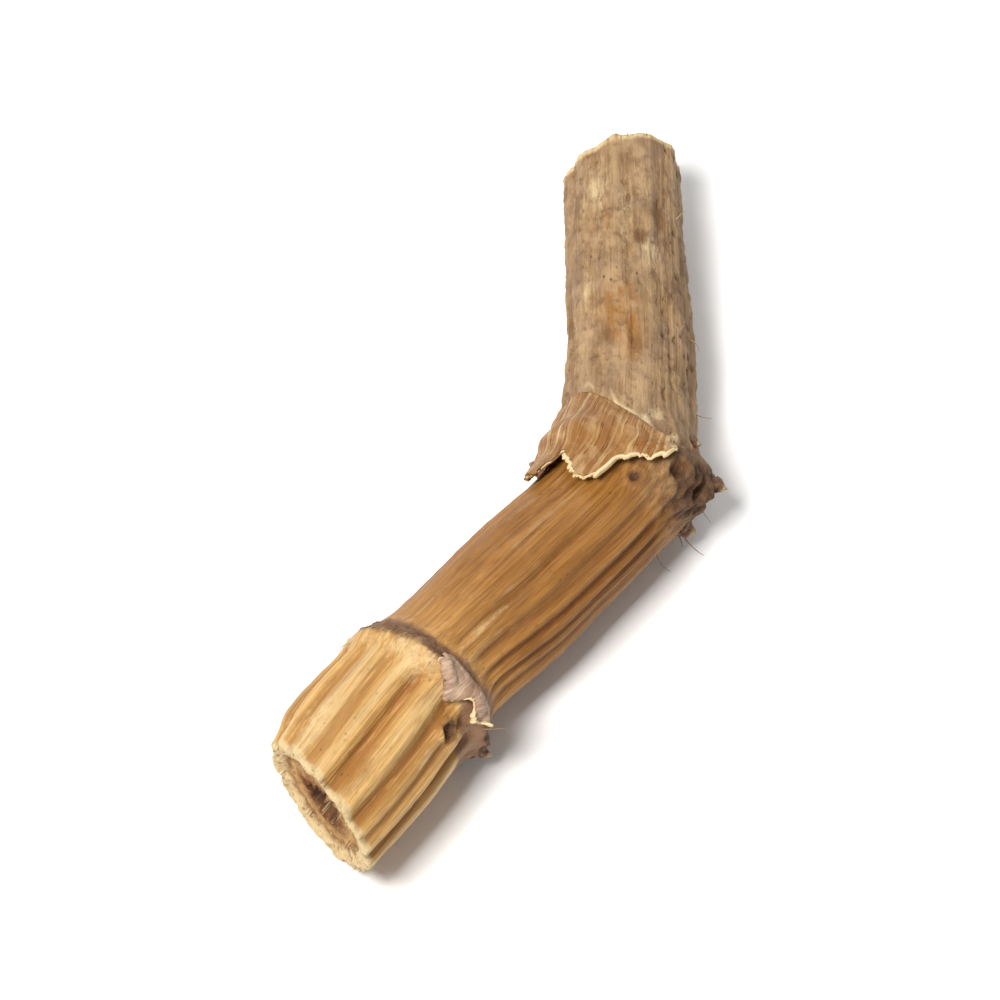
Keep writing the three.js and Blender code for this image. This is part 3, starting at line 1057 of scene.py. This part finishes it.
        # From the hollow outwards: painted shade inside the hollow, then tan and straw that partly paint
        # the face's shade, then the cream pith.
        stops = (
            (0.0, skin.fleck_and_shade),
            (0.1, skin.joint),
            (0.24, skin.furrow),
            (0.36, skin.pith_shade),
            (0.52, skin.lower),
            (0.66, skin.pith_shade),
            (0.77, skin.pith),
        )
        tone = self.mark.relief + (pattern.face_fibres - 0.5) * 0.3
        return self.coats(
            self.node("ValToRGB", {"stops": stops}, {"Fac": tone}),
            (skin.pith_shade, pattern.face_fibres.clamped(0.5, 0.7) * 0.7),
            (skin.furrow, (1 - self.bundles).clamped(0.7, 0.85) * 0.6),
            (skin.ridge, pattern.grit.clamped(0.54, 0.68) * 0.4),
        )

    def finished(self):
        """The whole material."""
        mark, pattern, rough_part = self.mark, self.pattern, self.rough_part
        flecks = (1 - self.specks).clamped(0.82, 0.93) * pattern.spread.clamped(0.42, 0.6)
        colour = self.coats(
            self.weathered(self.grained()),
            (self.crust(), (mark.crust + (pattern.ragged - 0.5) * 1.1).clamped(0.3, 0.7) * 0.92),
            (self.skin.fleck_and_shade, flecks * (0.45 + rough_part * 0.35) * (1 - mark.pith)),
            (self.cut_face_and_shade(), mark.pith),
        )
        rough = 0.46 + mark.furrow * 0.2 + mark.crust * 0.3 + mark.pith * 0.35
        rough = rough + rough_part * 0.2 + (pattern.fibres - 0.5) * 0.3
        height = pattern.fibres * 0.7 + pattern.streaks * 0.5 + pattern.mottle * (0.2 + rough_part * 0.9)
        face_height = pattern.face_fibres + pattern.grit - self.bundles
        height += (pattern.crumbs + pattern.grit) * mark.crust * 1.5 + face_height * mark.pith
        return self.surface(colour, rough, height, SKIN_BUMP, specular=0.28)


def leaf_material(leaf, name, body):
    """Papery leaf with veins and a cream torn edge; the same cream along its side edges is painted
    highlight.
    """
    finish = Finish(name)
    mark = finish.marks(LEAF_MARKS)
    pattern = finish.patterns(finish.attribute("straight", "Vector"), LEAF_PATTERNS)
    colour = finish.coats(
        body,
        (leaf.vein, (1 - pattern.veins).clamped(0.48, 0.68) * 0.5),
        (leaf.torn, pattern.veins.clamped(0.52, 0.72) * 0.45),
        (leaf.vein, pattern.blotches.clamped(0.48, 0.66) * 0.6),
        (leaf.torn, (1 - pattern.blotches).clamped(0.52, 0.7) * 0.3),
        (leaf.vein, (1 - mark.relief).clamped(0.55, 0.95) * 0.35),
        (leaf.torn, mark.relief.clamped(0.6, 0.95) * 0.3),
        (leaf.vein, (1 - pattern.fibres).clamped(0.5, 0.68) * 0.3),
        (leaf.torn, (mark.torn + (pattern.fray - 0.5) * 0.9).clamped(0.35, 0.85) * 0.9),
    )
    rough = 0.5 + (pattern.veins - 0.5) * 0.4
    height = pattern.veins * 0.6 + pattern.fibres * 0.6 + pattern.fray * 0.3
    return finish.surface(colour, rough, height, LEAF_BUMP, specular=0.42)


def root_material(root):
    """Brown wrinkled root bark with a pale broken core."""
    finish = Finish("root_bark")
    pattern = finish.patterns(finish.attribute("straight", "Vector"), ROOT_PATTERNS)
    wrinkles = pattern.wrinkles
    dark = [0.4 * channel for channel in root.bark]
    colour = finish.coats(
        root.bark,
        (dark, wrinkles.clamped(0.45, 0.65) * 0.8),
        (root.core, (1 - wrinkles).clamped(0.55, 0.72) * 0.4),
        (root.core, finish.marks(ROOT_MARKS).pith),
    )
    return finish.surface(colour, 0.62 + (wrinkles - 0.5) * 0.3, wrinkles, ROOT_BUMP)


def ground_material(stage):
    """Plain pale ground."""
    finish = Finish("plain_ground")
    shader = finish.node("BsdfPrincipled", {}, {"Base Color": as_colour(stage.ground), "Roughness": 0.8})
    finish.add("OutputMaterial", {}, {"Surface": shader})
    return finish.material


def is_near_end(edge, place):
    """Whether an edge lies at the cut end at this place."""
    reach = 2.5
    return all((vert.co - LINE.point(place)).length < reach for vert in edge.verts)


def ring_angles(verts, place):
    """Angle round the middle line of each corner of a ring at a cut end."""
    centre, _, right = LINE.frame_at(place)
    angles = {}
    for vert in verts:
        offset = vert.co - centre
        angles[vert] = math.degrees(math.atan2(offset.z / HEIGHT_TO_WIDTH, offset.dot(right)))
    return angles


def rim_distance(point, centre, tangent):
    """Distance of a rim point from the middle line, with the height scaled back to a round section."""
    offset = point - centre
    offset -= tangent * offset.dot(tangent)
    return math.hypot(Vector((offset.x, offset.y)).length, offset.z / HEIGHT_TO_WIDTH)


def rim_distance_at(angles, distances, angle):
    """Rim distance at an angle, from the sorted angles of the rim's corners and their distances."""
    if not angles[0] < angle < angles[-1]:
        return 0.5 * (distances[0] + distances[-1])
    low, share = find_span(angles, angle)
    return distances[low] + share * (distances[low + 1] - distances[low])


def hollow_radius(hollow, angle, depth, seed):
    """Half-width of a cut end's uneven hollow, which narrows a little inwards."""
    turn = math.radians(angle)
    uneven = 1 + 0.1 * math.sin(3 * turn + seed) + 0.06 * math.sin(5 * turn)
    return hollow * uneven * (1 - 0.12 * min(depth, 1))


def face_height(point, angle, share, depth, seed):
    """How far a cut face stands out: a lip at the rim, a dish, rough fibres and a torn inner edge."""
    turn = math.radians(angle)
    fibres = noise_at(point.x * 7, point.y * 7, point.z * 7 + seed)
    torn = 0.0
    if not depth:
        torn = noise_at(math.cos(turn) * 6, math.sin(turn) * 6, seed) * bump(share, HOLLOW_SHARE, 0.12)
    lip = LIP_HEIGHT * bump(share, 0.93, 0.06)
    dish = DISH_DEPTH * (1 - smooth_step(0.7, 0.92, share))
    return FACE_FIBRE_HEIGHT * fibres + TORN_HEIGHT * torn + lip - dish - depth


def face_relief(outwards, depth):
    """The relief mark of a cut face, which its colours follow: from 1 at the rim to 0 deep inside, where
    the low values paint shade in the hollow.
    """
    if depth > 0.5:
        return 0.0
    if depth:
        return 0.12
    return 0.2 + 0.8 * outwards


def close_cut(mesh, place, outward, hollow, layers, seed):
    """Closes an open end of the stem with a cut face, a hollow and the hollow's blind end."""
    centre, tangent, _ = LINE.frame_at(place)
    edges = [edge for edge in mesh.edges if edge.is_boundary and is_near_end(edge, place)]
    rim = ring_angles({vert for edge in edges for vert in edge.verts}, place)
    outline = sorted((angle, rim_distance(vert.co, centre, tangent)) for vert, angle in rim.items())
    rim_angles, rim_distances = zip(*outline)
    rings = [(share, 0.0) for share in FACE_SHARES] + [(HOLLOW_SHARE, depth) for depth in HOLLOW_DEPTHS]
    for share, depth in rings:
        corners, edges = extrude_ring(mesh, edges)
        outwards = (share - HOLLOW_SHARE) / (1 - HOLLOW_SHARE)
        for vert, angle in ring_angles(corners, place).items():
            inner = hollow_radius(hollow, angle, depth, seed)
            outer = rim_distance_at(rim_angles, rim_distances, angle)
            radius = inner + (outer - inner) * outwards
            point = stem_point(place, angle, radius)
            vert.co = on_ground(point + tangent * outward * face_height(point, angle, share, depth, seed))
            set_marks(
                vert,
                layers,
                straight=straight_point(place, angle, radius),
                pith=1.0,
                furrow=0.0,
                # Deeper in the hollow more crust colour paints shade there.
                crust=0.55 * smooth_step(0.2, 1.2, depth),
                relief=face_relief(outwards, depth),
            )
    bmesh.ops.edgeloop_fill(mesh, edges=edges)


def shape_skin(vert, place, angle, stem, layers):
    """Places a corner of the stem's sheet on the skin and notes what its colours need."""
    fine = fine_relief(place, angle, stem)
    pits = pit_depth(place, angle)
    pit = max(pits, 0)
    radius = skin_radius(place, angle) + fine - pits
    from_cut = min(place, LINE.length - place) - END_GAP
    vert.co = on_ground(stem_point(place, angle, radius))
    set_marks(
        vert,
        layers,
        straight=straight_point(place, angle, radius),
        furrow=min(furrows_at(place, angle) / FULL_FURROW + pit / FULL_PIT, 1.0),
        relief=max(clipped(0.5 + fine / RELIEF_SPAN), 1 - smooth_step(0.1, 0.24, from_cut)),
        crust=max(joint_cover(place, angle), min(pit / FULL_PIT_CRUST, 1.0)),
        pith=0.95 * (1 - smooth_step(0.05, 0.13, from_cut)),
        collar=leaf_collar(place, angle),
        dark_stain=stain(DARK_STAINS_AND_SHADE, place, angle),
        warm_stain=stain(WARM_STAINS, place, angle),
        pale_stain=stain(PALE_STAINS_AND_HIGHLIGHTS, place, angle),
        ring=lower_ring(place, angle),
    )


class RHIZOME_OT_stem(bpy.types.Operator):
    """Makes the stem: a sheet rolled round the middle line, raised and furrowed, and closed at both cuts"""

    bl_idname = "rhizome.stem"
    bl_label = "Stem"

    def execute(self, context):
        stem = context.scene.rhizome_stem
        mesh = bmesh.new()
        layers = mark_layers(mesh, SKIN_MARKS)
        bmesh.ops.create_grid(mesh, x_segments=stem.sides, y_segments=stem.rings, size=0.5)
        for vert in mesh.verts:
            angle = (vert.co.x + 0.5) * 360
            place = END_GAP + clipped(vert.co.y + 0.5) * (LINE.length - 2 * END_GAP)
            # Rounded, so that all corners of a ring share the values that are kept for its place.
            shape_skin(vert, round(place, 6), angle, stem, layers)
        seam = [vert for vert in mesh.verts if vert.is_boundary]
        bmesh.ops.remove_doubles(mesh, verts=seam, dist=1e-4)
        close_cut(mesh, END_GAP, -1, stem.near_hollow / MM, layers, NEAR_CUT.seed)
        close_cut(mesh, LINE.length - END_GAP, 1, stem.far_hollow / MM, layers, FAR_CUT.seed)
        material = SkinFinish(context.scene.rhizome_skin).finished()
        finish_piece("stem", mesh, material, "rind", "rhizome")
        return {"FINISHED"}


def evenly_round(turn, index):
    """The section of a tube without knobs."""
    return 1.0


def tube(mesh, layers, rings, sides, section=evenly_round):
    """A closed tube from a list of rings, each a centre, a half-width and how pale it is."""
    corners = bmesh.ops.create_circle(mesh, segments=sides, radius=1)["verts"]
    first_edges = list({edge for vert in corners for edge in vert.link_edges})
    edges = first_edges
    order = {vert: i for i, vert in enumerate(corners)}
    across = None
    for index, (centre, width, pith) in enumerate(rings):
        if index:
            before = order
            corners, edges = extrude_ring(mesh, edges)
            order = {}
            for vert in corners:
                neighbour = next(v for e in vert.link_edges for v in e.verts if v in before)
                order[vert] = before[neighbour]
        ahead = rings[min(index + 1, len(rings) - 1)][0] - rings[max(index - 1, 0)][0]
        ahead.normalize()
        if across is None:
            across = ahead.orthogonal().normalized()
        across = (across - ahead * across.dot(ahead)).normalized()
        beside = ahead.cross(across)
        for vert, i in order.items():
            turn = 2 * math.pi * i / sides
            reach = width * section(turn, index)
            vert.co = on_ground(centre + (across * math.cos(turn) + beside * math.sin(turn)) * reach)
            set_marks(vert, layers, straight=vert.co, pith=pith)
    bmesh.ops.edgeloop_fill(mesh, edges=first_edges)
    bmesh.ops.edgeloop_fill(mesh, edges=edges)


class RHIZOME_OT_root_stubs(bpy.types.Operator):
    """Makes the short stubs of broken roots at both joints"""

    bl_idname = "rhizome.root_stubs"
    bl_label = "Root stubs"

    def execute(self, context):
        mesh = bmesh.new()
        layers = mark_layers(mesh, ROOT_MARKS)
        for number, row in enumerate(ROOT_STUBS):
            self.add_stub(mesh, layers, number, *row)
        finish_piece("root_stubs", mesh, root_material(context.scene.rhizome_root), "rind")
        return {"FINISHED"}

    @staticmethod
    def add_stub(mesh, layers, number, place, angle, length, base_width, tip_width, lean):
        """A flared, knobbly, bent stub with a broken, sunken tip."""
        base = stem_point(place, angle, skin_radius(place, angle) - STUB_DEPTH)
        skin = stem_point(place, angle, skin_radius(place, angle))
        tangent = LINE.frame_at(place)[1]
        out = ((skin - base).normalized() + tangent * lean).normalized()
        bend = tangent * STUB_BEND * (1 if number % 2 else -1) - UP * STUB_DROOP
        reach = (length + STUB_DEPTH) * 0.94
        rings = []
        for ring in range(STUB_RINGS + STUB_TIP_RINGS):
            share = min(ring / (STUB_RINGS - 1), 1.0)
            tip_ring = max(ring - STUB_RINGS + 1, 0)
            centre = base + out * (share * reach - STUB_TIP_SINK * tip_ring) + bend * share * share
            flare = 1 + STUB_FLARE * (1 - smooth_step(0.3, 0.8, share))
            round_tip = 1 - 0.25 * smooth_step(0.85, 1.0, share) - STUB_TIP_NARROWING * tip_ring
            width = (base_width + (tip_width - base_width) * share) * flare * max(round_tip, 0.08)
            rings.append((centre, width, 0.8 * smooth_step(STUB_RINGS - 4, STUB_RINGS + 1, ring)))

        def knobbly(turn, index):
            around = Vector((math.cos(turn) * 1.3, math.sin(turn) * 1.3, index * 0.22 + 7 * number))
            return 1 + 0.4 * noise.noise(around) + 0.2 * noise.noise(around * 2.7)

        tube(mesh, layers, rings, STUB_SIDES, knobbly)


def hair_path(hair, number, start, heading, length, curl):
    """Points of a hair that leaves start along heading, bends at random and stays off the ground."""
    sag, lowest = 0.02, 0.04
    generator = random.Random(hair.bend_seed + number)
    axis = Vector([generator.uniform(-1, 1) for _ in range(3)]).normalized()
    points = [start.copy()]
    direction = heading.normalized()
    for _ in range(hair.rings - 1):
        turn = Quaternion(axis, curl * generator.uniform(0.4, 1.3) / hair.rings)
        direction = ((turn @ direction).normalized() - UP * sag).normalized()
        step = points[-1] + direction * (length / (hair.rings - 1))
        points.append(Vector((step.x, step.y, max(step.z, lowest))))
    return points


def add_hair(mesh, layers, hair, points, widths, pith):
    """A thin tube along points that tapers to its tip."""
    rings = []
    for ring, (point, width) in enumerate(zip(points, widths)):
        rings.append((point, width * (1 - hair.taper * ring / (hair.rings - 1)), pith))
    tube(mesh, layers, rings, hair.sides)


class RHIZOME_OT_rootlets(bpy.types.Operator):
    """Makes the fine rootlets and hairs at the joints and on the rough stretch"""

    bl_idname = "rhizome.rootlets"
    bl_label = "Rootlets"

    def execute(self, context):
        root = context.scene.rhizome_root
        generator = random.Random(ROOTLET.seed)
        mesh = bmesh.new()
        layers = mark_layers(mesh, ROOT_MARKS)
        low, high = (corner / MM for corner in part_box("rhizome"))
        for number in range(root.rootlets):
            place, angle, length = self.choose_place(number, generator)
            start = stem_point(place, angle, skin_radius(place, angle) - 0.03)
            out = (start - LINE.point(place)).normalized()
            tangent = LINE.frame_at(place)[1] * generator.uniform(-1.1, 1.1)
            curl = generator.uniform(0.6, 2.2)
            points = hair_path(ROOTLET, number, start, out + tangent, length, curl)
            width = root.rootlet_width / MM * generator.uniform(0.6, 1.2)
            if all(low.x < p.x < high.x and low.y < p.y < high.y and p.z < high.z for p in points):
                widths = [width] * ROOTLET.rings
                add_hair(mesh, layers, ROOTLET, points, widths, generator.uniform(0.0, 0.8))
        finish_piece("rootlets", mesh, root_material(root), "rind")
        return {"FINISHED"}

    @staticmethod
    def choose_place(number, generator):
        """Place, angle and length of a rootlet, by turns on the rough stretch and at either joint."""
        if number % 3 == 0:
            place = generator.uniform(11.0, 16.5)
            angle = generator.choice((RIGHT, LEFT)) + generator.uniform(-30, 35)
            return place, angle, 0.35
        if number % 3 == 1:
            return generator.uniform(9.3, 10.6), generator.uniform(-80, -5), generator.uniform(0.4, 0.8)
        return generator.uniform(3.1, 3.9), generator.uniform(-40, 220), generator.uniform(0.25, 0.5)


class RHIZOME_OT_cut_fibres(bpy.types.Operator):
    """Makes the loose pale fibres that stand up round both cuts"""

    bl_idname = "rhizome.cut_fibres"
    bl_label = "Cut fibres"

    def execute(self, context):
        root = context.scene.rhizome_root
        generator = random.Random(FIBRE.seed)
        mesh = bmesh.new()
        layers = mark_layers(mesh, ROOT_MARKS)
        for place, outward in ((END_GAP, -1), (LINE.length - END_GAP, 1)):
            for number in range(root.fibres):
                self.add_fibre(mesh, layers, place, outward, root.fibre_width / MM, number, generator)
        finish_piece("cut_fibres", mesh, root_material(root), "rind")
        return {"FINISHED"}

    @staticmethod
    def add_fibre(mesh, layers, place, outward, width, number, generator):
        """One fibre that leaves the cut near its rim and bends a little."""
        angle = generator.uniform(0, 360)
        radius = skin_radius(place, angle) * generator.choice((0.97, 0.93, 0.8, 0.6))
        inside = place - outward * 0.12
        start = stem_point(inside, angle, radius)
        tangent = LINE.frame_at(place)[1] * outward
        out = (start - LINE.point(inside)).normalized()
        heading = tangent + out * generator.uniform(-0.1, 0.35)
        length = 0.12 + generator.uniform(0.02, 0.12)
        points = hair_path(FIBRE, number, start, heading, length, generator.uniform(0.1, 0.7))
        widths = [width * generator.uniform(0.6, 1.2) for _ in range(FIBRE.rings)]
        add_hair(mesh, layers, FIBRE, points, widths, generator.uniform(0.1, 0.9))


def torn_length(torn, share):
    """Length of a torn edge at a share of its width, rounded between the listed lengths."""
    place = share * (len(torn) - 1)
    first = min(int(place), len(torn) - 2)
    return torn[first] + (torn[first + 1] - torn[first]) * smooth_step(0, 1, place - first)


def leaf_length(row, share, down):
    """Length of a leaf at a share of its width, frayed and slivered towards the torn edge."""
    fray = 0.07 * noise_at(share * 21, 4.2, 0) + 0.05 * noise_at(share * 85, 1.7, 0)
    sliver = 0.05 * max(noise_at(share * 46, 9.1, 0) - 0.15, 0) * smooth_step(0.9, 1.0, down)
    return torn_length(row["torn"], share) * (0.97 + fray * smooth_step(0.3, 1.0, down) + sliver)


def leaf_lift(row, width, share, down, flank):
    """How far a leaf lies off the skin: a rising, domed and crumpled sheet with a crinkled flank."""
    near, far = row["clearance"]
    crumple = noise_at(share * width * 2.2, down * 2.4, 1.3) * smooth_step(0.0, 0.3, down)
    dome = row["bulge"] * math.sin(math.pi * share) * math.sin(math.pi * down)
    crinkle = noise_at(share * 34, 2.0, 7.0) * smooth_step(0.72, 1.0, down)
    lift = near + (far - near) * down * down + row["crumple"] * crumple + dome + LEAF_GAP
    return max(lift + CRINKLE_HEIGHT * crinkle * flank, LEAF_GAP)


def shape_leaf(vert, row, leaf, layers):
    """Places a corner of a leaf's sheet over the stem and notes what its colours need."""
    share = vert.co.x + 0.5
    down = vert.co.y + 0.5
    side_edge = max(1 - smooth_step(0.0, 0.05, share), smooth_step(0.95, 1.0, share))
    flank = smooth_step(*FLANK, share)

    lobes = min(max(0.75 + 1.5 * noise_at(share * 9, 0.5, 3.0), 0.2), 1.15)
    roll_width = leaf.curl / MM * lobes * (1 - 0.85 * max(side_edge, flank))
    roll = max(down - ROLL_START, 0) / (1 - ROLL_START) * ROLL_TURN
    flat_length = leaf_length(row, share, down) - 0.8 * roll_width
    run = flat_length * min(down, ROLL_START) / ROLL_START + roll_width * math.sin(roll)

    first_angle, last_angle = row["edges"]
    width = math.radians(last_angle - first_angle) * girth_at(row["root"][0])
    side_fray = 3 * noise_at(down * 5, 0.3, 6.0) * (2 * share - 1)
    angle = first_angle + (last_angle - first_angle) * share + side_fray
    place = leaf_root(row, share) - run
    vein = noise_at(angle * 0.35, place * 0.12, 2.0) + 0.7 * noise_at(angle * 0.9, place * 0.2, 8.0)
    tuck = FOOT_TUCK * (1 - smooth_step(0.0, 0.14, down)) + EDGE_TUCK * side_edge
    radius = skin_radius(place, angle) + leaf_lift(row, width, share, down, flank) - tuck
    radius += roll_width * (1 - math.cos(roll)) + vein * leaf.vein_height / MM
    vert.co = on_ground(stem_point(place, angle, radius))

    # On the side edges the torn edge's cream is painted highlight along the leaf's outline.
    torn_start = 0.85 + 0.1 * flank
    set_marks(
        vert,
        layers,
        straight=Vector((share * width, run, 0.0)),
        torn=max(smooth_step(torn_start, torn_start + 0.08, down), 0.8 * side_edge),
        relief=clipped(0.5 + 0.5 * vein),
    )


def add_thickness(mesh, thickness):
    """Gives a sheet a second side, half of the solid's thickness out from it and less at the torn edge."""
    mesh.normal_update()
    outward = mesh.verts.layers.float_vector.new("outward")
    torn = mesh.verts.layers.float["torn"]
    for vert in mesh.verts:
        vert[outward] = vert.normal
    grown = bmesh.ops.extrude_face_region(mesh, geom=list(mesh.faces), use_keep_orig=True)["geom"]
    for vert in (item for item in grown if isinstance(item, bmesh.types.BMVert)):
        vert.co += vert[outward] * thickness * (SHEET_THICKNESS - TORN_THINNING * vert[torn])
    mesh.verts.layers.float_vector.remove(outward)


def add_leaf(name, row, leaf, material, node):
    """A torn scale leaf: a veined sheet laid over the stem, rolled outwards at its torn edge."""
    columns, rows = row["grid"]
    mesh = bmesh.new()
    layers = mark_layers(mesh, LEAF_MARKS)
    bmesh.ops.create_grid(mesh, x_segments=columns, y_segments=rows, size=0.5)
    for vert in mesh.verts:
        shape_leaf(vert, row, leaf, layers)
    add_thickness(mesh, row["thickness"])
    finish_piece(name, mesh, material, "scale_leaf", node)


class RHIZOME_OT_scale_leaves(bpy.types.Operator):
    """Makes the torn scale leaves of both joints"""

    bl_idname = "rhizome.scale_leaves"
    bl_label = "Scale leaves"

    def execute(self, context):
        leaf = context.scene.rhizome_leaf
        upper = leaf_material(leaf, "upper_leaf", leaf.body)
        lower = leaf_material(leaf, "lower_leaf", leaf.dry)
        add_leaf("upper_scale_leaf", UPPER_LEAF, leaf, upper, "scale_leaf")
        add_leaf("lower_scale_leaf", LOWER_LEAF, leaf, lower, "scale_leaf_remnant")
        return {"FINISHED"}


def add_ground(stage):
    """A wide flat sheet under the piece."""
    mesh = bmesh.new()
    bmesh.ops.create_grid(mesh, x_segments=1, y_segments=1, size=GROUND_HALF)
    data = bpy.data.meshes.new("ground")
    mesh.to_mesh(data)
    mesh.free()
    data.materials.append(ground_material(stage))
    ground = bpy.data.objects.new("ground", data)
    bpy.context.scene.collection.objects.link(ground)


def add_world():
    """Even white light from all sides."""
    world = bpy.data.worlds.new("soft_light")
    world.use_nodes = True
    background = world.node_tree.nodes["Background"]
    background.inputs["Color"].default_value = (1.0, 1.0, 1.0, 1.0)
    background.inputs["Strength"].default_value = WORLD_STRENGTH
    bpy.context.scene.world = world


def add_light(target, name, place, size, power, colour):
    """A square soft light that shines at a point."""
    data = bpy.data.lights.new(name, "AREA")
    data.size = size
    data.energy = power
    data.color = colour
    light = bpy.data.objects.new(name, data)
    light.location = place
    light.rotation_mode = "QUATERNION"
    light.rotation_quaternion = (target - Vector(place)).to_track_quat("-Z", "Y")
    bpy.context.scene.collection.objects.link(light)


def add_camera(stage, target):
    """A camera in front of a point, that looks down at it."""
    data = bpy.data.cameras.new("camera")
    data.sensor_width = SENSOR_WIDTH
    data.lens = SENSOR_WIDTH * stage.distance / stage.picture_width
    data.clip_start = 0.01
    data.clip_end = 10.0
    camera = bpy.data.objects.new("camera", data)
    back = Vector((0, -math.cos(stage.elevation), math.sin(stage.elevation)))
    camera.location = target + back * stage.distance
    camera.rotation_mode = "QUATERNION"
    camera.rotation_quaternion = (-back).to_track_quat("-Z", "Y")
    bpy.context.scene.collection.objects.link(camera)
    bpy.context.scene.camera = camera


class RHIZOME_OT_stage(bpy.types.Operator):
    """Makes the plain ground, the soft light and the camera"""

    bl_idname = "rhizome.stage"
    bl_label = "Stage"

    def execute(self, context):
        stage = context.scene.rhizome_stage
        low, high = CAD_BOX
        middle = (low + high) / 2
        add_ground(stage)
        add_world()
        for row in LIGHTS:
            add_light(middle, *row)
        add_camera(stage, middle)
        context.scene.view_settings.view_transform = "Standard"
        return {"FINISHED"}


OPERATORS = (
    RHIZOME_OT_stage,
    RHIZOME_OT_stem,
    RHIZOME_OT_root_stubs,
    RHIZOME_OT_rootlets,
    RHIZOME_OT_cut_fibres,
    RHIZOME_OT_scale_leaves,
)
SETTINGS = {
    "rhizome_stem": RhizomeStemSettings,
    "rhizome_skin": RhizomeSkinSettings,
    "rhizome_leaf": RhizomeLeafSettings,
    "rhizome_root": RhizomeRootSettings,
    "rhizome_stage": RhizomeStageSettings,
}


class RHIZOME_PT_tools(bpy.types.Panel):
    """Lists the makers of the piece and its settings"""

    bl_label = "Couch grass rhizome"
    bl_space_type = "VIEW_3D"
    bl_region_type = "UI"
    bl_category = "Rhizome"

    def draw(self, context):
        for operator in OPERATORS:
            self.layout.operator(operator.bl_idname)
        for name in SETTINGS:
            box = self.layout.box()
            group = getattr(context.scene, name)
            for setting in group.bl_rna.properties:
                if setting.identifier not in ("rna_type", "name"):
                    box.prop(group, setting.identifier)


CLASSES = (*SETTINGS.values(), *OPERATORS, RHIZOME_PT_tools)


def register():
    """Registers the settings, makers and panel."""
    for each in CLASSES:
        bpy.utils.register_class(each)
    for name, group in SETTINGS.items():
        setattr(bpy.types.Scene, name, PointerProperty(type=group))


def unregister():
    """Takes them all away again."""
    for name in SETTINGS:
        delattr(bpy.types.Scene, name)
    for each in reversed(CLASSES):
        bpy.utils.unregister_class(each)


def main():
    """Registers the makers and makes the stage and the piece."""
    register()
    bpy.ops.rhizome.stage()
    bpy.ops.rhizome.stem()
    bpy.ops.rhizome.root_stubs()
    bpy.ops.rhizome.rootlets()
    bpy.ops.rhizome.cut_fibres()
    bpy.ops.rhizome.scale_leaves()


if __name__ == "__main__":
    main()
